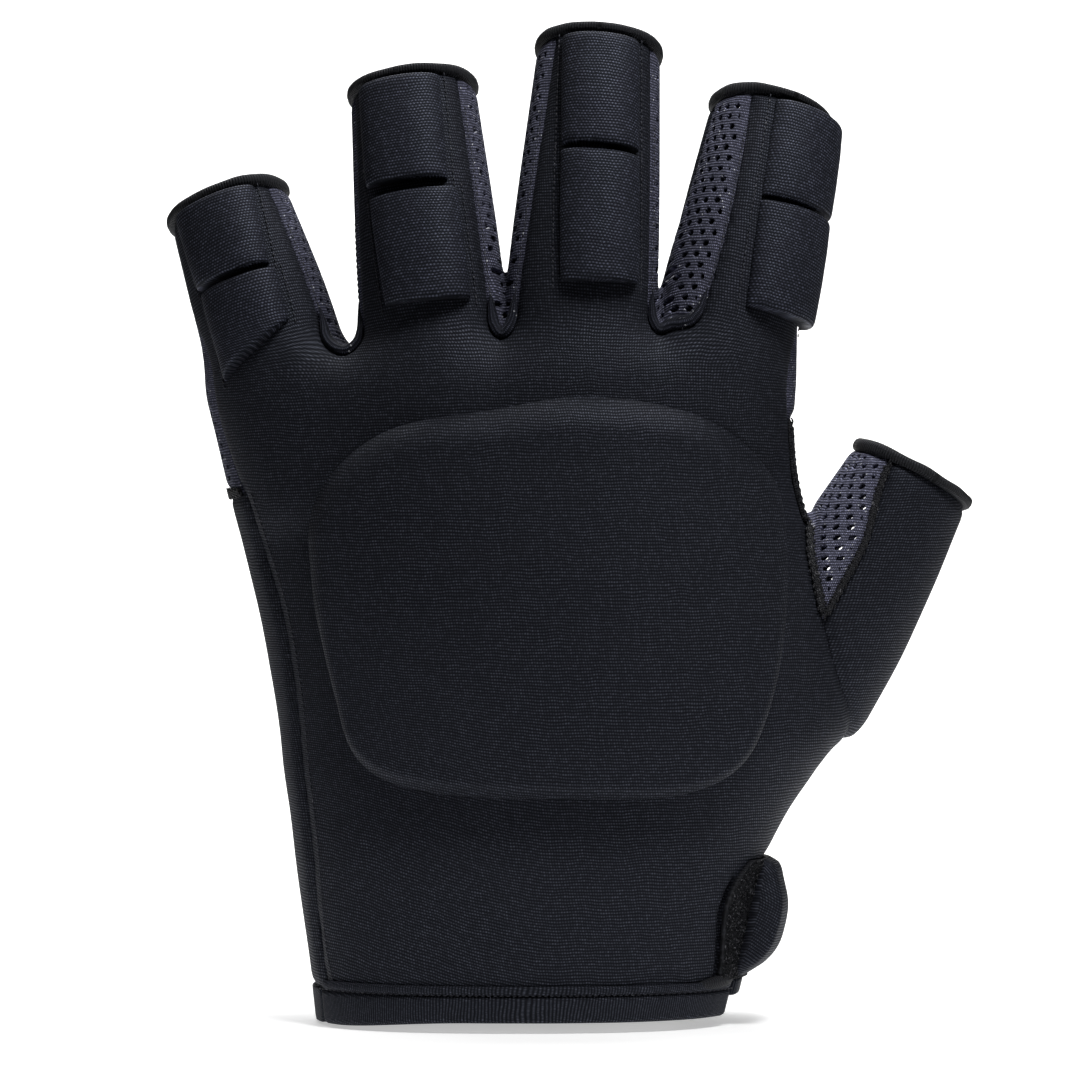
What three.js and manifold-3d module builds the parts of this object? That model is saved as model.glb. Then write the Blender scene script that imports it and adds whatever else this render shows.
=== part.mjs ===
// A field hockey glove for the left hand, with cut-off fingers, standing on its cuff with the
// back of the hand facing -Y, the fingers up +Z and the thumb towards +X. The origin is the
// middle of the wrist opening, on the plane of the cuff's edge. Millimetres.
//
// The hand is a lofted, hollow sleeve. Four lofted finger sleeves and a thumb sleeve are joined
// to it, and the shell is cut along its seams into sewn panels. Foam guards, a back pad, edge
// bindings, a hem and a wrist strap sit on the outside.
import * as THREE from "three";
import { mergeVertices } from "three/addons/utils/BufferGeometryUtils.js";
import Module from "manifold-3d";

const wasm = await Module();
wasm.setup();

// Driving dimensions.
const WALL = 2.2; // neoprene and padded mesh
const GAP = 0.3; // between two sewn pieces
const WELD = 1e-3; // points nearer than this are one
const PAST = 8; // how far the hollow runs on past each opening
const FAR = 200; // beyond the glove every way
const HAND_SIDES = { outside: 32, hollow: 24 };
const FINGER_SIDES = { outside: 16, hollow: 12 };
const HAND_ROUNDNESS = 2.35; // 2 is an ellipse, more is squarer
const FINGER_ROUNDNESS = 2.2;

// The knuckles stand on an arch, highest over the middle finger.
const ARCH = { crownX: 13, littleRadius: 172, indexRadius: 80, fullHeight: 100 };
// Above the knuckles the fingers bend towards the palm.
const CURL = { startZ: 105, radius: 225 };

// Outline of the hand from the front, and its depth each way from the middle surface.
const handSections = [
  { z: 0, left: -36.4, right: 37.0, back: 23.0, palm: 21.5 },
  { z: 12, left: -37.8, right: 40.0, back: 22.8, palm: 22.0 },
  { z: 27, left: -39.8, right: 43.2, back: 22.3, palm: 23.5 },
  { z: 36, left: -41.0, right: 48.4, back: 22.0, palm: 24.6 },
  { z: 44, left: -42.2, right: 53.4, back: 21.6, palm: 25.4 },
  { z: 52, left: -43.1, right: 57.6, back: 21.2, palm: 25.6 },
  { z: 62, left: -44.8, right: 58.8, back: 20.4, palm: 25.0 },
  { z: 73, left: -47.1, right: 57.6, back: 19.5, palm: 22.8 },
  { z: 84, left: -50.0, right: 54.0, back: 18.5, palm: 20.0 },
  { z: 95, left: -52.9, right: 50.6, back: 17.4, palm: 17.4 },
  { z: 106, left: -55.3, right: 49.2, back: 16.0, palm: 15.6 },
  { z: 114, left: -56.9, right: 49.2, back: 14.4, palm: 14.0 },
  { z: 119.5, left: -56.4, right: 48.2, back: 11.8, palm: 11.6 },
  { z: 122.5, left: -52.6, right: 44.4, back: 8.2, palm: 8.2 },
];

// Each finger sleeve runs from a root inside the hand to the middle of its opening. Half widths
// and depths are at the root, low down where the side strips flare, and at the opening.
const fingers = [
  {
    name: "little",
    root: { x: -35.0, z: 92, halfWidth: 11.6, depth: 12.4 },
    low: { share: 0.62, halfWidth: 12.5, depth: 11.2 },
    tip: { x: -53.5, z: 146.6, halfWidth: 11.2, depth: 9.8 },
  },
  {
    name: "ring",
    root: { x: -13.4, z: 104, halfWidth: 13.2, depth: 13.0 },
    low: { share: 0.45, halfWidth: 13.2, depth: 12.0 },
    tip: { x: -19.5, z: 167.4, halfWidth: 11.4, depth: 10.4 },
  },
  {
    name: "middle",
    root: { x: 9.2, z: 104, halfWidth: 13.8, depth: 13.2 },
    low: { share: 0.42, halfWidth: 13.6, depth: 12.2 },
    tip: { x: 14.3, z: 174.6, halfWidth: 11.2, depth: 10.6 },
  },
  {
    name: "index",
    root: { x: 32.7, z: 104, halfWidth: 12.8, depth: 12.8 },
    low: { share: 0.44, halfWidth: 12.8, depth: 11.8 },
    tip: { x: 45.6, z: 163.4, halfWidth: 10.8, depth: 10.2 },
  },
];

const thumb = {
  name: "thumb",
  root: { x: 44.0, y: 9.5, z: 48, halfWidth: 14.5, depth: 13.5 },
  low: { share: 0.52, halfWidth: 14.2, depth: 12.4 },
  tip: { x: 71.4, y: 13.0, z: 97.6, halfWidth: 11.6, depth: 10.4 },
  rollDegrees: 24,
};

// How far in front of (-) or behind (+) the middle surface the back panel's edge seam runs.
const edgeSeam = [
  { z: 0, offset: -9.0 },
  { z: 25, offset: -9.0 },
  { z: 31, offset: 1.0 },
  { z: 50, offset: 1.0 },
  { z: 72, offset: 1.0 },
  { z: 84, offset: -3.6 },
  { z: 95, offset: -4.0 },
  { z: 104, offset: -4.6 },
  { z: 114, offset: -7.6 },
  { z: 123, offset: -9.6 },
  { z: 132, offset: -7.0 },
  { z: 145, offset: -7.0 },
  { z: 160, offset: -7.0 },
  { z: 175, offset: -7.0 },
];
// The same seam on the fingers, where it runs nearer the front on some sides than on others.
const fingerSeam = [
  { x: -60, offset: -4.6 },
  { x: -46, offset: -4.6 },
  { x: -36, offset: -4.8 },
  { x: -30, offset: -5.2 },
  { x: -20, offset: -5.2 },
  { x: -10, offset: -6.6 },
  { x: -3, offset: -7.4 },
  { x: 3, offset: -8.2 },
  { x: 12, offset: -8.0 },
  { x: 20, offset: -6.6 },
  { x: 26, offset: -6.8 },
  { x: 31, offset: -10.2 },
  { x: 40, offset: -10.0 },
  { x: 46, offset: -5.6 },
  { x: 60, offset: -4.6 },
];
const FINGER_SEAM = { startZ: 113, fullZ: 127 };
// The mesh strips between the fingers. Below them the palm panel meets the edge seam itself.
const STRIP = { depth: 11.5, bottomZ: 108, littleBottomZ: 94.5 };
const stripNames = [
  "strip_little_outer",
  "strip_little_ring",
  "strip_ring_middle",
  "strip_middle_index",
  "strip_index_outer",
];

// The side panel's seam with the back panel, from the front.
const sideSeam = [
  { z: 0, x: -34.3 },
  { z: 6, x: -34.4 },
  { z: 14, x: -36.0 },
  { z: 30, x: -37.3 },
  { z: 45, x: -39.1 },
  { z: 57, x: -40.3 },
  { z: 72, x: -42.9 },
  { z: 82, x: -45.9 },
  { z: 94.5, x: -50.0 },
];
// The side panel turns round the hand's edge to its seam with the palm panel.
const SIDE = { bottomZ: -20, frontY: -FAR, turnY: 4, palmX: -33, overlap: 1 };

// The hem has two lengths. They meet in the side seam, and part beside the thumb in a slit.
const HEM = { height: 5.7, proud: 0.9, roundShare: 0.12 };
const HEM_DEGREES = { slit: -19, palmStart: -17, sideSeam: -158.5, palmEnd: 200.9 };

// Where the thumb's two seams run, round its section from the width direction to the back.
const THUMB_SEAMS = { atShare: 0.6, innerDegrees: 142, outerDegrees: -50 };

// Foam guards on the finger backs. Each corner is a share of root to tip and a turn in degrees
// round the finger, over 0 towards the thumb: two low corners, then two high ones.
const GUARD = { proud: 3.6, endProud: 2.6, sideProud: 1.1 };
const guards = [
  { finger: "little", part: "tip", corners: [[0.74, -28], [0.733, 36], [0.965, -31], [0.965, 48]] },
  { finger: "little", part: "base", corners: [[0.448, -29], [0.553, 36], [0.718, -26], [0.713, 40]] },
  { finger: "ring", part: "tip", corners: [[0.701, -36], [0.69, 30], [0.965, -38], [0.965, 34]] },
  { finger: "ring", part: "base", corners: [[0.367, -25], [0.365, 38], [0.66, -33], [0.664, 37]] },
  { finger: "middle", part: "tip", corners: [[0.708, -23], [0.706, 37], [0.965, -33], [0.965, 33]] },
  { finger: "middle", part: "base", corners: [[0.373, -14], [0.386, 42], [0.691, -23], [0.691, 37]] },
  { finger: "index", part: "tip", corners: [[0.696, -11], [0.71, 72], [0.965, -18], [0.965, 68]] },
  { finger: "index", part: "base", corners: [[0.381, -4], [0.382, 72], [0.681, -11], [0.7, 72]] },
];

// The back pad's outline from the front, joined by a smooth closed curve.
const PAD = { proud: 5.6, edgeProud: 1.2, rings: 5, sides: 32, centreX: 4.5, centreZ: 75 };
const padOutline = [
  { x: 12.6, z: 111.4 },
  { x: 32.0, z: 107.8 },
  { x: 44.0, z: 98.5 },
  { x: 47.0, z: 84.0 },
  { x: 45.2, z: 63.0 },
  { x: 39.5, z: 47.5 },
  { x: 28.0, z: 40.6 },
  { x: 8.0, z: 39.7 },
  { x: -15.5, z: 41.0 },
  { x: -27.6, z: 46.5 },
  { x: -32.4, z: 60.0 },
  { x: -36.8, z: 78.0 },
  { x: -36.4, z: 95.5 },
  { x: -24.0, z: 105.4 },
  { x: -4.0, z: 109.4 },
];

const BINDING = { halfWidth: 1.9, halfHeight: 1.7, sectionSides: 6 };

// Web tapes: bound edges in the crotches between the fingers. Each is a U from the front, with its
// round bottom nearest the front, and stands clear of the valley behind it.
const WEB = { radius: 1.3, steps: 14, sides: 4, bends: 6 };
const webs = [
  {
    name: "web_little_ring",
    left: { x: -34.6, y: -3.6 },
    right: { x: -28.4, y: -6.6 },
    bottom: { y: -6.6, z: 121.2 },
    topZ: 128.4,
  },
  {
    name: "web_ring_middle",
    left: { x: -4.8, y: -6.9 },
    right: { x: 1.4, y: -10.6 },
    bottom: { y: -9.9, z: 122.2 },
    topZ: 130.6,
  },
  {
    name: "web_middle_index",
    left: { x: 24.8, y: -6.8 },
    right: { x: 32.2, y: -8.6 },
    bottom: { y: -9.2, z: 122.6 },
    topZ: 131.0,
  },
];

// The wrist strap runs round the palm side, and its free end stands proud beside the thumb.
const STRAP = {
  startDegrees: 128,
  endDegrees: -24,
  lowZ: 6.6,
  highZ: 28.5,
  thickness: 3.0,
  edgeShare: 0.7,
  endStandOff: 1.6,
  liftFrom: 0.75,
  roundFrom: 0.86,
  endShare: 0.53,
};
const LOOP_PATCH = { startDegrees: -28, endDegrees: 22, lowZ: 6.4, highZ: 28.4, thickness: 1.1 };

const COLOURS = {
  neoprene: { color: 0x16171d, roughness: 0.62, metalness: 0 },
  guard: { color: 0x191b22, roughness: 0.5, metalness: 0 },
  mesh: { color: 0x383a4b, roughness: 0.8, metalness: 0 },
  palm: { color: 0x2b2d3a, roughness: 0.85, metalness: 0 },
  tape: { color: 0x101116, roughness: 0.7, metalness: 0 },
  loop: { color: 0x0b0c0f, roughness: 0.95, metalness: 0 },
};

const radians = THREE.MathUtils.degToRad;
const lerp = THREE.MathUtils.lerp;
const clamp = THREE.MathUtils.clamp;

// Reads one column of a table at a place between its rows, on a smooth curve through them.
function readTable(rows, key, column, at) {
  const place = clamp(at, rows[0][key], rows[rows.length - 1][key]);
  let i = 0;
  while (i < rows.length - 2 && place > rows[i + 1][key]) i++;
  const [a, b] = [rows[i], rows[i + 1]];
  const before = rows[Math.max(i - 1, 0)];
  const after = rows[Math.min(i + 2, rows.length - 1)];
  const span = b[key] - a[key];
  const share = (place - a[key]) / span;
  const slopeA = ((b[column] - before[column]) / (b[key] - before[key])) * span;
  const slopeB = ((after[column] - a[column]) / (after[key] - a[key])) * span;
  const s2 = share * share;
  const s3 = s2 * share;
  return (
    (2 * s3 - 3 * s2 + 1) * a[column] +
    (s3 - 2 * s2 + share) * slopeA +
    (3 * s2 - 2 * s3) * b[column] +
    (s3 - s2) * slopeB
  );
}

// The surface that runs through the middle of the hand and fingers, between back and palm.
function middleY(x, z) {
  const radius = x < ARCH.crownX ? ARCH.littleRadius : ARCH.indexRadius;
  const share = THREE.MathUtils.smoothstep(z, 0, ARCH.fullHeight);
  const arch = ((x - ARCH.crownX) ** 2 / (2 * radius)) * share;
  const bend = Math.max(z - CURL.startZ, 0) ** 2 / (2 * CURL.radius);
  return arch + bend;
}

// A round-cornered oval's point, from -1 to 1 each way.
function ovalPoint(angle, roundness) {
  const c = Math.cos(angle);
  const s = Math.sin(angle);
  return [
    Math.sign(c) * Math.abs(c) ** (2 / roundness),
    Math.sign(s) * Math.abs(s) ** (2 / roundness),
  ];
}

// A point of the hand's outside, grown by some millimetres. Angle 0 is +X and 90 the palm.
function handPoint(z, angle, grow) {
  const [left, right, back, palm] = ["left", "right", "back", "palm"].map((column) =>
    readTable(handSections, "z", column, z),
  );
  const [u, v] = ovalPoint(angle, HAND_ROUNDNESS);
  const x = (left + right) / 2 + u * ((right - left) / 2 + grow);
  const depth = (v < 0 ? back : palm) + grow;
  return new THREE.Vector3(x, middleY(x, z) + v * depth, z);
}

// The frame of a finger or thumb at a share of its length: its middle, its width direction,
// its palm direction, its axis and its two half sizes.
function fingerFrame(finger, share) {
  const { root, low, tip } = finger;
  const middle = (s) => {
    const x = lerp(root.x, tip.x, s);
    const z = lerp(root.z, tip.z, s);
    const y = finger.rollDegrees === undefined ? middleY(x, z) : lerp(root.y, tip.y, s);
    return new THREE.Vector3(x, y, z);
  };
  const centre = middle(share);
  const near = 0.01;
  const axis = middle(share + near).sub(middle(share - near)).normalize();
  const slope =
    (middleY(centre.x + near, centre.z) - middleY(centre.x - near, centre.z)) / (2 * near);
  const roll =
    finger.rollDegrees === undefined ? Math.atan(slope) : radians(finger.rollDegrees);
  const toPalm = new THREE.Vector3(-Math.sin(roll), Math.cos(roll), 0);
  toPalm.addScaledVector(axis, -toPalm.dot(axis)).normalize();
  const across = new THREE.Vector3().crossVectors(toPalm, axis);
  const rows = [
    { share: 0, halfWidth: root.halfWidth, depth: root.depth },
    low,
    { share: 1, halfWidth: tip.halfWidth, depth: tip.depth },
  ];
  const halfWidth = readTable(rows, "share", "halfWidth", share);
  const depth = readTable(rows, "share", "depth", share);
  return { centre, axis, across, toPalm, halfWidth, depth };
}

function fingerPoint(finger, share, angle, grow) {
  const { centre, across, toPalm, halfWidth, depth } = fingerFrame(finger, share);
  const [u, v] = ovalPoint(angle, FINGER_ROUNDNESS);
  return centre
    .clone()
    .addScaledVector(across, u * (halfWidth + grow))
    .addScaledVector(toPalm, v * (depth + grow));
}

// Closed geometry from triangles of points, with its faces turned outwards.
function closedGeometry(points, triangles) {
  const geometry = new THREE.BufferGeometry();
  const positions = new Float32Array(points.length * 3);
  points.forEach((p, i) => p.toArray(positions, i * 3));
  let volume = 0;
  for (const [a, b, c] of triangles)
    volume += points[a].dot(new THREE.Vector3().crossVectors(points[b], points[c]));
  const turned = volume < 0 ? triangles.map(([a, b, c]) => [a, c, b]) : triangles;
  geometry.setAttribute("position", new THREE.BufferAttribute(positions, 3));
  geometry.setIndex(turned.flat());
  return geometry;
}

// A solid through rings of equal count, with flat ends.
function loft(rings) {
  const sides = rings[0].length;
  const points = rings.flat();
  const triangles = [];
  for (let r = 0; r + 1 < rings.length; r++)
    for (let i = 0; i < sides; i++) {
      const a = r * sides + i;
      const b = r * sides + ((i + 1) % sides);
      triangles.push([a, b, b + sides], [a, b + sides, a + sides]);
    }
  for (const [ring, first] of [
    [rings[0], true],
    [rings[rings.length - 1], false],
  ]) {
    const base = first ? 0 : (rings.length - 1) * sides;
    const middle = ring.reduce((sum, p) => sum.add(p), new THREE.Vector3());
    points.push(middle.divideScalar(sides));
    for (let i = 0; i < sides; i++) {
      const pair = [base + i, base + ((i + 1) % sides)];
      if (first) pair.reverse();
      triangles.push([pair[0], pair[1], points.length - 1]);
    }
  }
  return closedGeometry(points, triangles);
}

// A solid between two sheets of points, given as functions of two shares from 0 to 1.
function slab(sheetA, sheetB, columns, rows) {
  const points = [];
  for (const sheet of [sheetA, sheetB])
    for (let j = 0; j <= rows; j++)
      for (let i = 0; i <= columns; i++) points.push(sheet(i / columns, j / rows));
  const at = (layer, i, j) => layer * (columns + 1) * (rows + 1) + j * (columns + 1) + i;
  const triangles = [];
  for (let j = 0; j < rows; j++)
    for (let i = 0; i < columns; i++)
      for (const layer of [0, 1]) {
        const [a, b, c, d] = [
          at(layer, i, j),
          at(layer, i + 1, j),
          at(layer, i + 1, j + 1),
          at(layer, i, j + 1),
        ];
        if (layer) triangles.push([a, b, c], [a, c, d]);
        else triangles.push([a, c, b], [a, d, c]);
      }
  const rim = [];
  for (let i = 0; i < columns; i++) rim.push([i, 0, i + 1, 0]);
  for (let j = 0; j < rows; j++) rim.push([columns, j, columns, j + 1]);
  for (let i = columns; i > 0; i--) rim.push([i, rows, i - 1, rows]);
  for (let j = rows; j > 0; j--) rim.push([0, j, 0, j - 1]);
  for (const [i0, j0, i1, j1] of rim) {
    const [a, b, c, d] = [at(0, i0, j0), at(0, i1, j1), at(1, i1, j1), at(1, i0, j0)];
    triangles.push([a, b, c], [a, c, d]);
  }
  return closedGeometry(points, triangles);
}

// A closed ring of small ovals, one for each frame.
function ringOf(frames, { halfWidth, halfHeight, sectionSides }) {
  const points = frames.flatMap(({ centre, out, up }) =>
    Array.from({ length: sectionSides }, (_, k) => {
      const angle = (k / sectionSides) * 2 * Math.PI;
      return centre
        .clone()
        .addScaledVector(out, Math.cos(angle) * halfWidth)
        .addScaledVector(up, Math.sin(angle) * halfHeight);
    }),
  );
  const triangles = [];
  frames.forEach((_, i) => {
    for (let k = 0; k < sectionSides; k++) {
      const next = (i + 1) % frames.length;
      const [a, b] = [i * sectionSides + k, i * sectionSides + ((k + 1) % sectionSides)];
      const [c, d] = [next * sectionSides + ((k + 1) % sectionSides), next * sectionSides + k];
      triangles.push([a, b, c], [a, c, d]);
    }
  });
  return closedGeometry(points, triangles);
}

function solidOf(geometry) {
  const bare = new THREE.BufferGeometry();
  bare.setAttribute("position", geometry.getAttribute("position"));
  bare.setIndex(geometry.index);
  const merged = mergeVertices(bare, WELD);
  return new wasm.Manifold(
    new wasm.Mesh({
      numProp: 3,
      vertProperties: new Float32Array(merged.attributes.position.array),
      triVerts: new Uint32Array(merged.index.array),
    }),
  );
}

function geometryOf(solid) {
  const mesh = solid.getMesh();
  const positions = new Float32Array(mesh.numVert * 3);
  for (let i = 0; i < mesh.numVert; i++)
    positions.set(mesh.vertProperties.subarray(i * mesh.numProp, i * mesh.numProp + 3), i * 3);
  const geometry = new THREE.BufferGeometry();
  geometry.setAttribute("position", new THREE.BufferAttribute(positions, 3));
  geometry.setIndex(new THREE.BufferAttribute(new Uint32Array(mesh.triVerts), 1));
  return geometry;
}

// The largest connected body of a solid, welded, without the crumbs that a cut leaves.
function largestBody(solid) {
  const welded = solidOf(geometryOf(solid));
  return welded.decompose().reduce((a, b) => (b.volume() > a.volume() ? b : a));
}

const angles = (count) => Array.from({ length: count }, (_, i) => (i / count) * 2 * Math.PI);
const range = (count, from, to) =>
  Array.from({ length: count }, (_, i) => lerp(from, to, i / (count - 1)));

// The hand and its fingers as full solids, grown or shrunk by some millimetres.
function handSolid(grow, extraBottom, sides = HAND_SIDES.outside) {
  const heights = handSections.map((row) => row.z);
  const top = heights[heights.length - 1];
  const rings = heights.map((z) =>
    angles(sides).map((angle) => {
      const point = handPoint(z, angle, grow);
      if (z === 0) point.z -= extraBottom;
      if (z === top) point.z += grow;
      return point;
    }),
  );
  return solidOf(loft(rings));
}

const FINGER_SHARES = [0, 0.2, 0.42, 0.7, 1];
function fingerSolid(finger, grow, extraTip, sides = FINGER_SIDES.outside) {
  const rings = FINGER_SHARES.map((share) =>
    angles(sides).map((angle) => {
      const point = fingerPoint(finger, share, angle, grow);
      if (share === 1) point.addScaledVector(fingerFrame(finger, 1).axis, extraTip);
      return point;
    }),
  );
  return solidOf(loft(rings));
}

const union = (solids) => solids.reduce((a, b) => a.add(b));
const handOutside = handSolid(0, 0);
const fingersOutside = union(fingers.map((f) => fingerSolid(f, 0, 0)));
const hollow = union([
  handSolid(-WALL, PAST, HAND_SIDES.hollow),
  ...[...fingers, thumb].map((f) => fingerSolid(f, -WALL, PAST, FINGER_SIDES.hollow)),
]);
const grownHand = handSolid(GAP, 0);
const grownBody = union([
  grownHand,
  ...fingers.map((f) => fingerSolid(f, GAP, 0)),
  fingerSolid(thumb, GAP, 0),
]);
const bodyShell = handOutside.add(fingersOutside).subtract(hollow);

// Regions that the seams divide the shell into. Each is the space between two sheets over x, z.
const FIELD = { lowX: -80, highX: 92, lowZ: -6, highZ: 188 };
const fieldPlaces = [FIELD.lowX, ...fingerSeam.map(({ x }) => x), FIELD.highX];
const seamHeights = edgeSeam.map(({ z }) => z).slice(1);
const fieldHeights = [FIELD.lowZ, ...seamHeights, FIELD.highZ];
function regionBetween(nearY, farY) {
  const rows = fieldHeights.length - 1;
  const columns = fieldPlaces.length - 1;
  const sheet = (depthAt) => (u, v) => {
    const x = fieldPlaces[Math.round(u * columns)];
    const z = fieldHeights[Math.round(v * rows)];
    return new THREE.Vector3(x, depthAt(x, z), z);
  };
  return solidOf(slab(sheet(nearY), sheet(farY), columns, rows));
}

function boxSolid(lowCorner, highCorner) {
  const low = new THREE.Vector3(...lowCorner);
  const high = new THREE.Vector3(...highCorner);
  const size = high.clone().sub(low);
  const geometry = new THREE.BoxGeometry(size.x, size.y, size.z);
  geometry.translate(...low.add(high).multiplyScalar(0.5).toArray());
  return solidOf(geometry);
}

const seamY = (x, z) => {
  const onHand = readTable(edgeSeam, "z", "offset", z);
  const onFinger = readTable(fingerSeam, "x", "offset", x);
  const share = THREE.MathUtils.smoothstep(z, FINGER_SEAM.startZ, FINGER_SEAM.fullZ);
  return middleY(x, z) + lerp(onHand, onFinger, share);
};
const palmSeamY = (x, z) => seamY(x, z) + STRIP.depth;
const frontRegion = regionBetween(() => -FAR, (x, z) => seamY(x, z) - GAP / 2);
const behindSeam = regionBetween((x, z) => seamY(x, z) + GAP / 2, () => FAR);
const stripRegion = regionBetween(
  (x, z) => seamY(x, z) + GAP / 2,
  (x, z) => palmSeamY(x, z) - GAP / 2,
);
const palmRegion = regionBetween((x, z) => palmSeamY(x, z) + GAP / 2, () => FAR);

// The side panel's zone, below the little finger's mesh, moved towards the thumb by a shift.
function sideZone(shift) {
  const topZ = STRIP.littleBottomZ + shift;
  const wall = (y) => (u, v) => {
    const z = lerp(SIDE.bottomZ, topZ, v);
    const seamX = readTable(sideSeam, "z", "x", z) + shift;
    return new THREE.Vector3(u === 0 ? -FAR : seamX, y, z);
  };
  const front = solidOf(slab(wall(SIDE.frontY), wall(SIDE.turnY), 1, 24));
  const behind = boxSolid(
    [-FAR, SIDE.turnY - SIDE.overlap, SIDE.bottomZ],
    [SIDE.palmX + shift, FAR, topZ],
  );
  return front.add(behind);
}

function webGeometry({ left, right, bottom, topZ }) {
  const bend = (right.x - left.x) / 2;
  const path = angles(2 * WEB.bends)
    .slice(WEB.bends)
    .map((turn) => {
      const [across, down] = [Math.cos(turn), -Math.sin(turn)];
      const y = lerp(lerp(left.y, right.y, (across + 1) / 2), bottom.y, down);
      return new THREE.Vector3((left.x + right.x) / 2 + bend * across, y, bottom.z + bend * (1 - down));
    });
  path.unshift(new THREE.Vector3(left.x, left.y, topZ));
  path.push(
    new THREE.Vector3(right.x, right.y, bottom.z + bend),
    new THREE.Vector3(right.x, right.y, topZ),
  );
  const section = new THREE.Shape();
  section.absarc(0, 0, WEB.radius, 0, 2 * Math.PI);
  return new THREE.ExtrudeGeometry(section, {
    steps: WEB.steps,
    curveSegments: WEB.sides,
    extrudePath: new THREE.CatmullRomCurve3(path),
  });
}

// The meshes, each in its own material, gathered in one group.
const glove = new THREE.Group();
glove.name = "field_hockey_glove";
function addPiece(name, solid, colour) {
  const mesh = new THREE.Mesh(
    geometryOf(largestBody(solid)),
    new THREE.MeshStandardMaterial(COLOURS[colour]),
  );
  mesh.name = name;
  glove.add(mesh);
}

// Sewn panels of the hand.
const aboveHem = boxSolid([-FAR, -FAR, HEM.height + GAP], [FAR, FAR, FAR]);
const shellAboveHem = bodyShell.intersect(aboveHem);
const pastSide = sideZone(GAP / 2);
addPiece("back_panel", shellAboveHem.intersect(frontRegion).subtract(pastSide), "neoprene");
addPiece("side_panel", shellAboveHem.intersect(sideZone(-GAP / 2)), "neoprene");

// The heights at which the strips give way to the palm panel, lower beside the little finger.
const littleX = fingers[0].root.x;
const aboveSeam = (half) =>
  boxSolid([-FAR, -FAR, STRIP.littleBottomZ + half], [littleX, FAR, FAR]).add(
    boxSolid([littleX - GAP, -FAR, STRIP.bottomZ + half], [FAR, FAR, FAR]),
  );
const palmRegions = palmRegion.add(behindSeam.subtract(aboveSeam(-GAP / 2)));
addPiece("palm_panel", shellAboveHem.intersect(palmRegions).subtract(pastSide), "palm");

// Mesh strips, each down the side of one finger, round the crotch and up the next.
const allStrips = bodyShell
  .intersect(stripRegion)
  .intersect(aboveSeam(GAP / 2))
  .subtract(pastSide);
// Everything on one side of a finger's middle plane: -1 is the little finger's side.
function besideFinger({ root, tip }, side) {
  const line = (z) => lerp(root.x, tip.x, (z - root.z) / (tip.z - root.z));
  const wall = (y) => (u, v) => {
    const z = FAR * v;
    return new THREE.Vector3(u === 0 ? line(z) : side * FAR, y, z);
  };
  return solidOf(slab(wall(-FAR), wall(FAR), 1, 1));
}
stripNames.forEach((name, i) => {
  let strip = allStrips;
  if (i > 0) strip = strip.intersect(besideFinger(fingers[i - 1], 1));
  if (i < fingers.length) strip = strip.intersect(besideFinger(fingers[i], -1));
  addPiece(name, strip, "mesh");
});

// The thumb: a neoprene back and a mesh inner panel, sewn on at the hand's outside.
const thumbShell = fingerSolid(thumb, 0, 0).subtract(hollow).subtract(grownHand);
// The half space on the outer side of the plane through the thumb's two seams.
function outerThumb(shift) {
  const { centre, axis, across, toPalm, halfWidth, depth } = fingerFrame(
    thumb,
    THUMB_SEAMS.atShare,
  );
  const onSection = (degrees) =>
    centre
      .clone()
      .addScaledVector(across, Math.cos(radians(degrees)) * halfWidth)
      .addScaledVector(toPalm, -Math.sin(radians(degrees)) * depth);
  const inner = onSection(THUMB_SEAMS.innerDegrees);
  const outer = onSection(THUMB_SEAMS.outerDegrees);
  const along = outer.clone().sub(inner).normalize();
  const outward = new THREE.Vector3().crossVectors(along, axis).normalize();
  if (outward.x < 0) outward.negate();
  const middle = inner.add(outer).multiplyScalar(0.5).addScaledVector(outward, shift);
  const box = new THREE.BoxGeometry(FAR, FAR, FAR).translate(FAR / 2, 0, 0);
  const upward = new THREE.Vector3().crossVectors(outward, along);
  box.applyMatrix4(new THREE.Matrix4().makeBasis(outward, along, upward).setPosition(middle));
  return solidOf(box);
}
addPiece("thumb_back", thumbShell.intersect(outerThumb(GAP / 2)), "neoprene");
addPiece("thumb_mesh", thumbShell.subtract(outerThumb(-GAP / 2)), "mesh");

for (const web of webs) addPiece(web.name, solidOf(webGeometry(web)), "tape");

// Elastic tape round each opening.
for (const finger of [...fingers, thumb]) {
  const { axis } = fingerFrame(finger, 1);
  const frames = angles(FINGER_SIDES.outside).map((angle) => {
    const outer = fingerPoint(finger, 1, angle, 0);
    const inner = fingerPoint(finger, 1, angle, -WALL);
    return {
      centre: outer
        .clone()
        .add(inner)
        .multiplyScalar(0.5)
        .addScaledVector(axis, BINDING.halfHeight + GAP),
      out: outer.clone().sub(inner).normalize(),
      up: axis,
    };
  });
  addPiece(
    `binding_${finger.name}`,
    solidOf(ringOf(frames, BINDING)),
    "tape",
  );
}

// Foam guards: half-round pods on the finger backs, blunt at their ends and sides.
for (const { finger: name, part, corners } of guards) {
  const finger = fingers.find((f) => f.name === name);
  const between = (k, u, v) => {
    const [lowLeft, lowRight, highLeft, highRight] = corners.map((corner) => corner[k]);
    return lerp(lerp(lowLeft, lowRight, u), lerp(highLeft, highRight, u), v);
  };
  const sheet = (growAt) => (u, v) =>
    fingerPoint(finger, between(0, u, v), radians(between(1, u, v) - 90), growAt(u, v));
  const crown = (u, v) => {
    const side = Math.sqrt(Math.max(0, 1 - (2 * u - 1) ** 4));
    const end = Math.abs(2 * v - 1) > 0.99 ? GUARD.endProud : GUARD.proud;
    return GAP + lerp(GUARD.sideProud, end, side);
  };
  addPiece(`guard_${name}_${part}`, solidOf(slab(sheet(() => GAP), sheet(crown), 6, 4)), "guard");
}

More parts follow.
